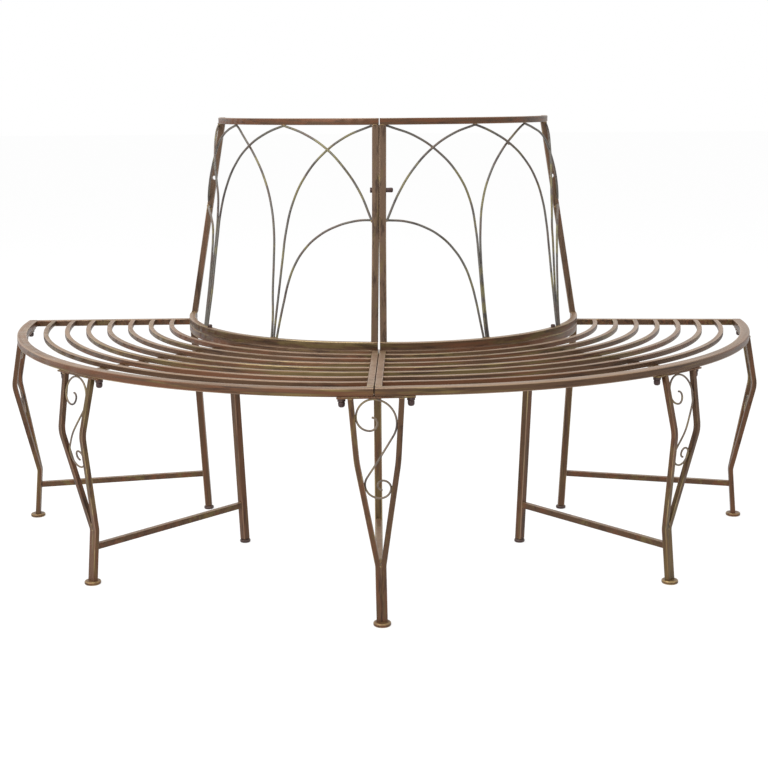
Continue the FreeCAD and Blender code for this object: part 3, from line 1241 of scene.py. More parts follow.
@dataclass
class Seat:
    """The two quarter-round seat modules: rims, slats, end bars and bearers."""

    finishes: Finishes
    height: float = 433 * MM
    rim: Section = Section(20 * MM, 15 * MM, 2.4 * MM, 4)
    rim_wall: float = 1.5 * MM
    rim_hollow: float = 30 * MM
    inner: Section = Section(13 * MM, 15 * MM, 1.6 * MM)
    inner_radius: float = 425 * MM
    slat: Section = Section(10 * MM, 10 * MM, 1.3 * MM)
    slat_count: int = 7
    stock: float = 13 * MM
    tube_corner: float = 1.8 * MM
    seam_half: float = 0.5 * MM
    rim_gap_half: float = 1.4 * MM
    bearer_width: float = 14 * MM
    bearer_thickness: float = 5 * MM
    bearer_corner: float = 0.8 * MM
    bearer_turn: float = 45.0

    @property
    def outside(self) -> float:
        """Inside radius of the outer rim."""
        return SEAT_RADIUS - self.rim.width

    @property
    def inside(self) -> float:
        """Outside radius of the inner rim."""
        return self.inner_radius + self.inner.width / 2

    def rims(self) -> None:
        """The front rim, which is a tube that is open at the seam, and the bar under the back."""
        middle, low = SEAT_RADIUS - self.rim.width / 2, self.height - self.rim.height
        outer = quarter(self.rim, middle, low, self.rim_gap_half, 0)
        open_end(outer, RIGHT * self.rim_gap_half, LEFT, self.rim_wall, self.rim_hollow)
        pair(outer, self.rim.corner / 2, "outer_rim", self.finishes.rim)
        low = self.height - self.inner.height
        inner = quarter(self.inner, self.inner_radius, low, self.seam_half, 0)
        pair(inner, self.inner.corner, "inner_rim", self.finishes.rubbed_round)

    def slats(self) -> None:
        """The seven round slats."""
        pitch = (self.outside - self.inside + self.slat.width) / (self.slat_count + 1)
        low = self.height - self.slat.height
        for i in range(1, self.slat_count + 1):
            radius = self.outside + self.slat.width / 2 - pitch * i
            slat = quarter(self.slat, radius, low, self.seam_half + self.stock, self.stock)
            pair(slat, self.slat.corner, f"slat_{i}", self.finishes.rubbed_round)

    def straight_bars(self) -> None:
        """The end bar, the seam bar and the bearer under the slats."""
        top, near, stock = self.height, self.seam_half, self.stock
        front, back = TRUNK_Y - self.outside, TRUNK_Y - self.inside
        end = block((self.inside, TRUNK_Y - stock, top - stock), (self.outside, TRUNK_Y, top))
        ease(end, self.tube_corner)
        pair(end, self.tube_corner, "end_bar", self.finishes.rubbed)
        seam = block((near, front, top - self.rim.height), (near + stock, back, top))
        ease(seam, self.tube_corner)
        pair(seam, self.tube_corner, "seam_bar", self.finishes.rubbed)
        under, half = top - self.slat.height, self.bearer_width / 2
        bearer = block((-half, front, under - self.bearer_thickness), (half, back, under))
        ease(bearer, self.bearer_corner)
        bearer.data.transform(round_trunk(self.bearer_turn))
        pair(bearer, self.bearer_corner, "bearer", self.finishes.level)

    def build(self) -> None:
        """Makes the whole seat."""
        self.rims()
        self.slats()
        self.straight_bars()


class Side(enum.Enum):
    """One of the bench's two modules."""

    LEFT = "left"
    RIGHT = "right"


@dataclass(frozen=True)
class Strand:
    """One wire of the back, as it was bent by hand on each side.

    A station is the turn from the seam in degrees, the height in millimetres and, where the wire
    swells out of the back, by how many millimetres. The hand is 1 for a wire that passes in front
    where two cross, and -1 for one that passes behind.
    """

    hand: int
    left: tuple[Station, ...]
    right: tuple[Station, ...]

    def on(self, side: Side) -> tuple[Station, ...]:
        """The wire's stations on one side."""
        return self.left if side is Side.LEFT else self.right


NEAR_ARCH = Strand(
    1,
    (
        (2.0, 686), (5.6, 741), (10.6, 787.5), (16.5, 824.5), (23.8, 851.5), (31, 866.4),
        (32.2, 868), (33.4, 866.4), (39.9, 852.3), (47.6, 826), (54, 789), (58.3, 743),
        (60.3, 690), (60.2, 638), (59.8, 580), (59.3, 520), (59.3, 470), (59.3, 436),
    ),
    (
        (2.4, 685), (6, 738), (10.8, 785.5), (17, 824.6), (24.4, 852.2), (31.4, 866.2),
        (32.6, 868), (33.8, 866.2), (40.2, 851), (47.3, 828), (53.9, 796.5), (59.2, 757.5),
        (62.2, 712), (62.8, 661), (62.1, 612), (61.2, 556), (60.6, 505), (60.1, 465), (60.0, 436),
    ),
)
FAR_ARCH = Strand(
    -1,
    (
        (31.1, 436), (31.25, 487), (32.0, 542), (32.5, 600), (33.3, 658), (35.4, 713.5),
        (39.2, 764), (44.8, 808), (51.8, 844), (57.6, 866.6), (58.6, 868), (59.8, 866.6),
        (65.8, 857.5), (71.6, 844, 1), (75.6, 828, 3), (79, 804, 5), (82, 775, 7), (84.6, 745, 8),
        (87, 716, 7.5), (90, 684, 5),
    ),
    (
        (31.3, 436), (31.0, 485), (30.9, 542), (31.0, 602), (31.7, 662), (33.5, 719), (37.4, 771),
        (43.4, 815), (51, 848), (57.4, 866.4), (58.5, 868), (59.8, 866.4), (66, 857.5),
        (72.4, 846, 2), (77, 829, 5), (80.4, 803, 8), (83, 774, 10.5), (85.2, 745, 11),
        (87.2, 716, 9.5), (90, 684, 6),
    ),
)
SEAM_SWEEP = Strand(
    -1,
    (
        (0.2, 872), (4, 864), (10.4, 847.3), (17.8, 813.6), (23.5, 769.8), (27.2, 718),
        (28.9, 662), (29.45, 603), (29.85, 545), (30.2, 490), (30.4, 436),
    ),
    (
        (0.4, 873), (4.5, 864.6), (11.4, 849), (19.2, 816.4), (25.3, 773), (28.9, 721),
        (30.1, 663), (30.3, 603), (30.3, 543), (30.35, 485), (30.6, 436),
    ),
)
SEAM_BRANCH = Strand(
    -1,
    (
        (0, 684.5), (3.6, 686.4), (7.6, 683.6), (13.1, 672.5), (18.1, 654), (22.2, 628),
        (25.1, 596.7), (26.9, 561), (27.9, 523.5), (28.7, 487), (29.6, 436),
    ),
    (
        (0, 685), (4, 685.6), (8.2, 683), (13.6, 671.5), (18.5, 652), (22.4, 625.5), (25.3, 594),
        (27.1, 558.8), (28.2, 522), (28.95, 485), (29.9, 436),
    ),
)
END_SWEEP = Strand(
    1,
    (
        (91, 873), (86.8, 863, 2), (81.5, 847.5, 3), (75.4, 818, 4), (70.6, 783, 4),
        (66.8, 750, 2), (64.2, 720), (62.6, 688), (61.6, 652), (61.1, 610), (60.9, 560),
        (60.6, 510), (60.3, 465), (60.1, 436),
    ),
    (
        (91, 873), (87.6, 863, 2), (84, 846, 4), (80, 818, 4), (75.8, 783, 4), (72, 748, 4),
        (69.4, 716, 4), (67.5, 684, 4), (66, 654, 3), (64.9, 622, 3), (63.7, 583, 2),
        (62.6, 543, 1), (61.7, 502), (60.9, 453), (60.7, 436),
    ),
)
END_BRANCH = Strand(
    1,
    (
        (91, 691, -3.5), (85, 691, -3), (79.2, 690, -2.5), (73.4, 684.5, -1.5), (68.6, 673, -0.5),
        (65.4, 655), (63.9, 630), (63, 600), (62.4, 565), (61.8, 525), (61.4, 485), (60.9, 436),
    ),
    (
        (91, 689), (86.5, 690), (82.3, 686.5), (78.6, 677.5), (74.8, 660), (71.6, 635), (69, 605),
        (66.8, 573), (64.8, 535), (63.2, 501), (61.9, 460), (61.4, 436),
    ),
)


@dataclass
class Back:
    """The leaning back: rails, posts and the interlaced wires."""

    finishes: Finishes
    seat: Seat
    overall_height: float = 883 * MM
    rail: Section = Section(13 * MM, 13 * MM, 1.5 * MM)
    bottom_rail: Section = Section(13 * MM, 15.5 * MM, 1.5 * MM)
    foot_radius: float = 423.2 * MM
    lean: float = 1 / 6
    bottom_setback: float = 2.0 * MM
    top_setback: float = 1.6 * MM
    post_touch: float = -0.05 * MM
    post_wedge: float = 0.5 * MM
    post_width: float = 13.9 * MM
    splay: float = 1.7 * MM
    splay_height: float = 650 * MM
    seam_drift: float = 1.8 * MM
    end_drift: float = 2.4 * MM
    rail_drifts: Point = (2.8 * MM, 1.4 * MM)
    wire: float = 4.7 * MM
    wire_pass: float = 2.75 * MM
    wire_sunk: float = 0.4 * MM
    hole_height: float = 752 * MM
    hole: float = 9 * MM
    hole_sides: int = 32
    strands: tuple[Strand, ...] = (
        NEAR_ARCH, FAR_ARCH, SEAM_SWEEP, END_SWEEP, SEAM_BRANCH, END_BRANCH
    )

    @property
    def foot_height(self) -> float:
        """Where the posts and wires start, inside the bottom rail."""
        return self.seat.height + self.rail.height

    @property
    def rail_top(self) -> float:
        """Top of the bottom rail."""
        return self.seat.height + self.bottom_rail.height

    @property
    def post_top(self) -> float:
        """Underside of the top rail."""
        return self.overall_height - self.rail.height

    def radius(self, height: float) -> float:
        """Distance from the trunk's axis to the middle of the back."""
        return self.foot_radius - self.lean * (height - self.foot_height)

    def rails(self) -> None:
        """The bottom rail on the seat and the top rail on the posts."""
        seat, high = self.seat, self.post_top
        section = self.bottom_rail
        bottom = quarter(section, seat.inner_radius, seat.height, self.bottom_setback, 0)
        pair(bottom, section.corner, "bottom_rail", self.finishes.rubbed_round)
        top = quarter(self.rail, self.radius(high), high, self.top_setback, 0)
        drifts = [Matrix.Translation(RIGHT * drift) for drift in self.rail_drifts]
        pair(top, self.rail.corner, "top_rail", self.finishes.round_rail, drifts)

    def posts(self) -> None:
        """The seam post and the end post with its open bolt hole."""
        low, high = self.foot_height, self.post_top
        middle = (low + high) / 2
        stock, corner = self.rail.width, self.rail.corner
        half = stock / 2 * math.hypot(1, self.lean)
        shift = self.lean * (high - low)
        near, front = self.post_touch, TRUNK_Y - self.foot_radius
        seam = block((near, front - half, low), (near + self.post_width, front + half, high))
        nudge(seam, lambda place: place.x < MM and place.y < front, RIGHT * self.post_wedge)
        nudge(seam, lambda place: place.z > middle, REAR * shift)
        with editing(seam):
            bpy.ops.mesh.bisect(plane_co=UP * self.splay_height, plane_no=UP)
        nudge(seam, lambda place: place.z < low + MM, RIGHT * self.splay)
        ease(seam, corner)
        drift = sideways(self.seam_drift, low, high)
        pair(seam, corner, "seam_post", self.finishes.post, (drift, drift))
        inside, outside = self.foot_radius - half, self.foot_radius + half
        end = block((inside, TRUNK_Y - stock, low), (outside, TRUNK_Y, high))
        nudge(end, lambda place: place.z > middle, LEFT * shift)
        ease(end, corner)
        self.drill(end)
        drift = sideways(self.end_drift, low, high)
        pair(end, corner, "end_post", self.finishes.post, (drift, STILL))

    def drill(self, post: bpy.types.Object) -> None:
        """Drills the spare bolt hole through an end post, from front to back.

        Args:
            post: the post.
        """
        stock, height = self.rail.width, self.hole_height
        centre = (self.radius(height), TRUNK_Y - stock / 2, height)
        bit = rod(self.hole_sides, self.hole, 4 * stock, centre, (math.pi / 2, 0, 0))
        modify(post, "BOOLEAN", object=bit, operation="DIFFERENCE", solver="EXACT")
        remove(bit)

    def on_back(self, turn: float, height: float, outward_by: float) -> Vector:
        """A point of the back, pushed out towards the sitter."""
        return at_turn(turn, self.radius(height) + outward_by, height)

    def bent(self, stations: Sequence[Station], hand: int) -> bpy.types.Object:
        """One wire of the right-hand back, trimmed where rails and posts hold it.

        Args:
            stations: the places that it swings through.
            hand: 1 if it passes in front where two wires cross, -1 if behind.

        Returns:
            The new piece.
        """
        points = []
        for turn, height, *swell in stations:
            outward_by = hand * self.wire_pass + sum(swell) * MM
            points.append(self.on_back(turn, height * MM, outward_by))
        wire = drawn_wire(points, self.wire, eased=True)
        stock, sunk = self.rail.width, self.wire_sunk
        cut(wire, (self.seat.seam_half + stock - sunk, 0, 0), LEFT)
        cut(wire, (0, TRUNK_Y - stock + sunk, 0), REAR)
        cut(wire, (0, 0, self.foot_height - sunk), DOWN)
        cut(wire, (0, 0, self.post_top + sunk), UP)
        return wire

    def wires(self) -> None:
        """The two pointed arches and the four half arches of each side."""
        for side in Side:
            wires = merged([self.bent(strand.on(side), strand.hand) for strand in self.strands])
            smooth(wires, ROUND_ANGLE)
            if side is Side.LEFT:
                pattern, wires = wires, twin(wires, MIRROR)
                remove(pattern)
            dress(wires, side.value + "_back_wires", self.finishes.wire)

    def build(self) -> None:
        """Makes the whole back."""
        self.rails()
        self.posts()
        self.wires()


@dataclass(frozen=True)
class Stand:
    """Where a leg stands: the turns of its outer and its back leg round the trunk, in degrees.

    The lean and the step are how far its top leans and its foot stands aside, as it was set.
    """

    name: str
    turn: float
    inner_turn: float
    lean: float = 0.0
    step: float = 0.0


@dataclass
class Legs:
    """The five outer legs with their scrolls, straps and feet, the back legs and the stretchers."""

    finishes: Finishes
    seat: Seat
    stands: tuple[Stand, ...] = (
        Stand("left_end", -84.1, -87.25),
        Stand("left_middle", -45.0, -46.0),
        Stand("centre", 0.5, -0.5, lean=-3.7 * MM),
        Stand("right_middle", 45.0, 46.0, step=6.6 * MM),
        Stand("right_end", 84.1, 87.25),
    )
    lean_pivot: float = 214 * MM
    bar: Section = Section(10 * MM, 10 * MM, 1.4 * MM)
    bar_top: float = 415 * MM
    top_radius: float = 796 * MM
    top_spread: float = 44.3 * MM
    knee_radius: float = 816.5 * MM
    knee_spread: float = 36 * MM
    knee_height: float = 307 * MM
    knee_bend: float = 60 * MM
    ankle_radius: float = 776 * MM
    ankle_gap: float = -0.1 * MM
    ankle_height: float = 108 * MM
    ankle_bend: float = 30 * MM
    foot_radius: float = 785.5 * MM
    foot: float = 32 * MM
    foot_height: float = 7.5 * MM
    cap_sides: int = 48
    cap_steps: int = 4
    cap_round: float = 0.36
    cap_wear: float = 0.2
    strap: Vector = field(default_factory=lambda: Vector((137, 20, 3)) * MM)
    strap_corner: float = 0.7 * MM
    strap_radius: float = 789.75 * MM
    inner: float = 15 * MM
    inner_corner: float = 2 * MM
    inner_foot_radius: float = 403.2 * MM
    inner_foot: float = 22 * MM
    inner_foot_height: float = 7 * MM
    stretcher: float = 12 * MM
    stretcher_corner: float = 1.6 * MM
    stretcher_spare: float = 12 * MM
    stretcher_outer: float = 74 * MM
    stretcher_inner: float = 82 * MM
    stud_spacing: float = 120 * MM
    nut: float = 14 * MM
    nut_height: float = 16 * MM

    @property
    def inner_top(self) -> float:
        """Top of the back legs, under the inner rim."""
        return self.seat.height - self.seat.rim.height

    @property
    def beside(self) -> float:
        """Half the distance between the two bars at the foot."""
        return (self.bar.width + self.ankle_gap) / 2

    @property
    def ankle_lean(self) -> float:
        """How far the outer legs run outwards per fall, below the ankle."""
        return (self.foot_radius - self.ankle_radius) / self.ankle_height

    @property
    def inner_lean(self) -> float:
        """How far the back legs run outwards per rise."""
        return (self.seat.inner_radius - self.inner_foot_radius) / self.inner_top

    def move(self, stand: Stand) -> Matrix:
        """The move that carries a piece of an outer leg from the seam to its place."""
        return round_trunk(stand.turn) @ sideways(stand.lean, self.lean_pivot, self.bar_top)

    def stood(self, pattern: bpy.types.Object, stand: Stand) -> bpy.types.Object:
        """A copy of an outer leg's piece at its place, with its foot stepped aside.

        Args:
            pattern: the piece, at the seam.
            stand: where the leg stands.

        Returns:
            The copy.
        """
        piece = step_aside(twin(pattern, STILL), stand.step, self.knee_height)
        piece.data.transform(self.move(stand))
        return piece

    def bars(self) -> bpy.types.Object:
        """The two bent bars of a leg, at the seam.

        Returns:
            The new piece.
        """
        grow = 1 + self.bar.width / (self.bar_top - self.knee_height)
        radius = self.knee_radius + (self.top_radius - self.knee_radius) * grow
        spread = self.knee_spread + (self.top_spread - self.knee_spread) * grow
        pieces = []
        for hand in (-1, 1):
            corners = [
                Vector((hand * spread, self.bar_top + self.bar.width, radius)),
                Vector((hand * self.knee_spread, self.knee_height, self.knee_radius)),
                Vector((hand * self.beside, self.ankle_height, self.ankle_radius)),
                Vector((hand * self.beside, 0, self.foot_radius)),
            ]
            piece = drawn_bar(bent_run(corners, (self.knee_bend, self.ankle_bend)), self.bar)
            piece.rotation_euler = (math.pi / 2, 0, 0)
            piece.location = REAR * TRUNK_Y
            settle(piece)
            cut(piece, UP * self.bar_top, UP)
            cut(piece, UP * self.foot_height, DOWN)
            pieces.append(piece)
        flat = self.bar.width - 2 * self.bar.corner
        return finished(merged(pieces), self.bar.corner, flat)

    def strap_plate(self) -> bpy.types.Object:
        """The flat strap under the rim, at the seam.

        Returns:
            The new piece.
        """
        front = TRUNK_Y - self.strap_radius - self.strap.y / 2
        low = Vector((-self.strap.x / 2, front, self.bar_top))
        plate = block(low, low + self.strap)
        ease(plate, self.strap_corner)
        return finished(plate, self.strap_corner)

    def cap(self, diameter: float, height: float, radius: float) -> bpy.types.Object:
        """A round foot cap with soft edges, at the seam.

        Args:
            diameter: its width.
            height: its height.
            radius: its distance from the trunk's axis.

        Returns:
            The new piece.
        """
        piece = rod(self.cap_sides, diameter, height, at_turn(0, radius, height / 2))
        ease(piece, height * self.cap_round, self.cap_steps)
        return finished(piece, height * self.cap_wear)

    def inner_leg(self) -> bpy.types.Object:
        """The straight back leg, at the seam.

        Returns:
            The new piece.
        """
        half, low, top = self.inner / 2, self.inner_foot_height, self.inner_top
        run = self.seat.inner_radius - self.inner_foot_radius
        foot = self.inner_foot_radius + run * low / top
        middle = TRUNK_Y - foot
        piece = block((-half, middle - half, low), (half, middle + half, top))
        nudge(piece, lambda place: place.z > top / 2, REAR * (foot - self.seat.inner_radius))
        ease(piece, self.inner_corner)
        return finished(piece, self.inner_corner)

    def stretcher_ends(self, turn: float, inner_turn: float) -> tuple[Vector, Vector]:
        """Where a low tube meets its outer leg and its back leg, at the tube's middle.

        Args:
            turn: the outer leg's turn.
            inner_turn: the back leg's turn.

        Returns:
            The outer and the inner end.
        """
        rise = self.ankle_height - self.stretcher_outer
        radius = self.ankle_radius + self.ankle_lean * rise - self.bar.width / 2
        start = at_turn(turn, radius, self.stretcher_outer)
        radius = self.inner_foot_radius + self.inner_lean * self.stretcher_inner + self.inner / 2
        return start, at_turn(inner_turn, radius, self.stretcher_inner)

    def stretcher_tube(self, stand: Stand) -> bpy.types.Object:
        """The low tube between an outer leg and its back leg, following the leg's step.

        Args:
            stand: where the leg stands.

        Returns:
            The new piece.
        """
        step = stand.step / self.foot_radius * (1 - self.stretcher_outer / self.knee_height)
        turn = stand.turn + math.degrees(step)
        start, end = self.stretcher_ends(turn, stand.inner_turn)
        half, spare = self.stretcher / 2, self.stretcher_spare
        length = (end - start).length
        piece = block((-half, -spare, -half), (half, length + spare, half))
        ease(piece, self.stretcher_corner)
        aim = (end - start).normalized().to_track_quat("Y", "Z").to_matrix().to_4x4()
        piece.matrix_world = Matrix.Translation(start) @ aim
        settle(piece)
        cut(piece, start, (outward(turn) - UP * self.ankle_lean).normalized())
        cut(piece, end, (UP * self.inner_lean - outward(stand.inner_turn)).normalized())
        return finished(piece, self.stretcher_corner)

    def build(self) -> None:
        """Makes every leg."""
        finishes = self.finishes
        bars, plate, inner = self.bars(), self.strap_plate(), self.inner_leg()
        foot = self.cap(self.foot, self.foot_height, self.foot_radius)
        inner_foot = self.cap(self.inner_foot, self.inner_foot_height, self.inner_foot_radius)
        scroll = Scroll(self).wire()
        stud = Nuts().hanging_cap(self.nut, self.nut_height)
        stud.data.transform(Matrix.Translation(at_turn(0, self.strap_radius, self.bar_top)))
        coats = {
            "leg_scrolls": finishes.scroll,
            "leg_straps": finishes.level,
            "outer_feet": finishes.foot,
            "inner_feet": finishes.dark,
            "leg_cap_studs": finishes.dark,
        }
        groups: dict[str, list[bpy.types.Object]] = {node: [] for node in coats}
        for stand in self.stands:
            move, inner_move = self.move(stand), round_trunk(stand.inner_turn)
            tube = self.stretcher_tube(stand)
            leg_bars, leg_foot = (self.stood(part, stand) for part in (bars, foot))
            dress(leg_bars, f"{stand.name}_leg_bars", finishes.upright)
            dress(twin(inner, inner_move), f"{stand.name}_inner_leg", finishes.upright)
            dress(tube, f"{stand.name}_stretcher", finishes.level)
            groups["leg_scrolls"].append(twin(scroll, move))
            groups["leg_straps"].append(twin(plate, move))
            groups["outer_feet"].append(leg_foot)
            groups["inner_feet"].append(twin(inner_foot, inner_move))
            for hand in (-1, 1):
                aside = Matrix.Translation(RIGHT * (hand * self.stud_spacing / 2))
                groups["leg_cap_studs"].append(twin(stud, move @ aside))
        remove(bars, plate, inner, foot, inner_foot, scroll, stud)
        for node, coat in coats.items():
            dress(merged(groups[node]), node, coat)


@dataclass
class Scroll:
    """The S-scroll between the two bars of a leg, made of tangent arcs."""

    legs: Legs
    thickness: float = 3.7 * MM
    high: float = 383 * MM
    low: float = 264 * MM
    gap: float = -0.5 * MM
    top_curl: tuple[float, ...] = (9.5 * MM, 13 * MM, 23.5 * MM, 29.8 * MM)
    low_start: float = 25.5 * MM
    low_curl: Point = (14 * MM, 9 * MM)
    tail: float = 175.0
    arc_step: float = 7.0
    run_steps: int = 12
    knee_ease: float = 12 * MM

    def bar_at(self, height: float) -> tuple[float, float, float]:
        """Where a leg's bars are at a height.

        Args:
            height: height above the floor.

        Returns:
            Their distance from the trunk's axis, half their spacing, and its growth per rise.
        """
        legs = self.legs
        knee = (legs.knee_radius, legs.knee_spread, legs.knee_height)
        if height > legs.knee_height:
            low, high = knee, (legs.top_radius, legs.top_spread, legs.bar_top)
        else:
            low, high = (legs.ankle_radius, legs.beside, legs.ankle_height), knee
        part = (height - low[2]) / (high[2] - low[2])
        widening = (high[1] - low[1]) / (high[2] - low[2])
        return low[0] + (high[0] - low[0]) * part, low[1] + (high[1] - low[1]) * part, widening

    def arc(
        self, place: Vector, heading: float, radius: float, turn: float
    ) -> tuple[list[Vector], float]:
        """Points of an arc in the leg's front view.

        Args:
            place: where it starts.
            heading: its first direction, in degrees.
            radius: its radius.
            turn: degrees that it turns, to the left if positive.

        Returns:
            The points after the first, and the last direction.
        """
        reach = math.copysign(radius, turn)
        start = math.radians(heading)
        centre = place + Vector((-reach * math.sin(start), 0, reach * math.cos(start)))
        count = max(3, math.ceil(abs(turn) / self.arc_step))
        points = []
        for i in range(1, count + 1):
            now = start + math.radians(turn) * i / count
            points.append(centre + Vector((reach * math.sin(now), 0, -reach * math.cos(now))))
        return points, heading + turn

    def follow(
        self, place: Vector, heading: float, steps: Sequence[Point]
    ) -> tuple[list[Vector], float]:
        """Points of several arcs in a row.

        Args:
            place: where they start.
            heading: their first direction, in degrees.
            steps: the radius and the turn of each.

        Returns:
            The points and the last direction.
        """
        points = [place]
        for radius, turn in steps:
            more, heading = self.arc(points[-1], heading, radius, turn)
            points += more
        return points, heading

    def centreline(self) -> list[Vector]:
        """The whole scroll, flat, from its upper to its lower curl's end.

        Returns:
            Its points.
        """
        touch = self.legs.bar.width / 2 + self.thickness / 2 + self.gap
        _, high_spread, _ = self.bar_at(self.high)
        _, low_spread, _ = self.bar_at(self.low)
        round_top = self.top_curl[-1]
        top_left = Vector((touch - high_spread, 0, self.high))
        low_left = touch - low_spread
        crown = self.high + round_top
        _, spread, widening = self.bar_at(crown)
        wide_top = (spread - touch - top_left.x - round_top) / (1 + widening)
        _, spread, widening = self.bar_at(self.low - self.low_start)
        wide_low = (spread - touch - low_left - self.low_start) / (1 - widening)
        across = top_left.x + round_top + wide_top - low_left
        drop = crown - wide_top - self.low
        both = wide_top + self.low_start
        slope = math.asin(both / math.hypot(drop, both - across)) - math.atan2(both - across, drop)
        run = (across - both * (1 - math.cos(slope))) / math.sin(slope)
        lean = math.degrees(slope)
        curl, end_curl = self.low_curl
        inner, _ = self.follow(top_left, 270, [(size, 90) for size in reversed(self.top_curl[:-1])])
        outer, heading = self.follow(top_left, 90, [(round_top, -90), (wide_top, -90 - lean)])
        angle = math.radians(heading)
        end = outer[-1] + Vector((math.cos(angle), 0, math.sin(angle))) * run
        steps = [(self.low_start, 90 + lean), (wide_low, 90), (curl, 90), (end_curl, self.tail)]
        tail, _ = self.follow(end, heading, steps)
        between = [outer[-1].lerp(end, i / self.run_steps) for i in range(1, self.run_steps)]
        return list(reversed(inner[1:])) + outer + between + tail

    def wire(self) -> bpy.types.Object:
        """The scroll's round wire, bent with the bars, at the seam.

        Returns:
            The new piece.
        """
        piece = drawn_wire([self.on_bars(point) for point in self.centreline()], self.thickness)
        smooth(piece, ROUND_ANGLE)
        return piece

    def on_bars(self, point: Vector) -> Vector:
        """Carries a point of the flat scroll between the bars, which are bent at the knee.

        Args:
            point: a point of the flat scroll, at the seam.

        Returns:
            Its place in the row frame.
        """
        legs = self.legs
        rise = point.z - legs.knee_height
        above = (legs.top_radius - legs.knee_radius) / (legs.bar_top - legs.knee_height)
        below = (legs.knee_radius - legs.ankle_radius) / (legs.knee_height - legs.ankle_height)
        bend = (above + below) / 2 * rise + (above - below) / 2 * math.hypot(rise, self.knee_ease)
        return Vector((point.x, TRUNK_Y - legs.knee_radius - bend, point.z))

    def touches(self) -> list[Vector]:
        """The four places where the scroll touches the bars, at the seam.

        Returns:
            The places.
        """
        line = self.centreline()
        middle = (self.high + self.low) / 2
        places = []
        for half in ([p for p in line if p.z > middle], [p for p in line if p.z <= middle]):
            for pick, side in ((min, -1), (max, 1)):
                touch = pick(half, key=lambda point: point.x)
                places.append(self.on_bars(touch + Vector((side * self.thickness / 2, 0, 0))))
        return places


@dataclass(frozen=True)
class Nuts:
    """Patterns of the bolts' ends, standing at the origin.

    Their sizes are shares of a nut's width, the collars' height one of its height, and a cup's
    two are its widths at the collar and at its end.
    """

    sides: int = 6
    chamfer: float = 0.06
    collar: float = 0.34
    round_sides: int = 40
    round_steps: int = 5
    dome_collar: float = 0.88
    dome_cup: Point = (0.9, 0.98)
    dome_round: float = 0.3
    dome_sunk: float = 0.3
    cap_cup: Point = (0.92, 0.82)
    cap_round: float = 0.27
    cap_overlap: float = 0.4 * MM

    def hexagon(self, across: float, height: float) -> bpy.types.Object:
        """A six-sided head on the origin's plane, its edges rounded.

        Args:
            across: its width between two flats.
            height: its height.

        Returns:
            The new piece.
        """
        piece = rod(self.sides, 2 * across / math.sqrt(3), height, UP * (height / 2))
        ease(piece, across * self.chamfer)
        return piece

    def cup(self, ends: Point, low: float, high: float, rounding: float) -> bpy.types.Object:
        """A closed cup with rounded edges.

        Args:
            ends: its widths below and above.
            low: where it starts.
            high: where it ends.
            rounding: the radius of its edges.

        Returns:
            The new piece.
        """
        clear_selection()
        bpy.ops.mesh.primitive_cone_add(
            vertices=self.round_sides,
            radius1=ends[0] / 2,
            radius2=ends[1] / 2,
            depth=high - low,
            location=(0, 0, (high + low) / 2),
        )
        piece = bpy.context.object
        settle(piece)
        ease(piece, rounding, self.round_steps)
        return piece

    def dome(self, across: float, height: float) -> bpy.types.Object:
        """A closed nut: a six-sided collar below, a rounded end above.

        Args:
            across: its width.
            height: its height.

        Returns:
            The new piece.
        """
        collar = height * self.collar
        skirt = self.hexagon(across * self.dome_collar, collar)
        ends = (across * self.dome_cup[0], across * self.dome_cup[1])
        cup = self.cup(ends, collar * self.dome_sunk, height, across * self.dome_round)
        return merged([skirt, cup])

    def hanging_cap(self, across: float, height: float) -> bpy.types.Object:
        """A closed round-ended nut that hangs from the origin's plane and tapers downwards.

        Args:
            across: its width between two flats.
            height: its height.

        Returns:
            The new piece.
        """
        collar = height * self.collar
        skirt = self.hexagon(across, collar)
        ends = (across * self.cap_cup[0], across * self.cap_cup[1])
        cup = self.cup(ends, collar - self.cap_overlap, height, across * self.cap_round)
        piece = merged([skirt, cup])
        piece.data.transform(Matrix.Rotation(math.pi, 4, "X"))
        return self.finished(piece, across)

    def finished(self, piece: bpy.types.Object, across: float) -> bpy.types.Object:
        """Cleans a nut's shading and marks its edges for wear and a painted highlight.

        Args:
            piece: the nut.
            across: its width.

        Returns:
            The same piece.
        """
        smooth(piece)
        mark_edges(piece, across * self.chamfer)
        return piece


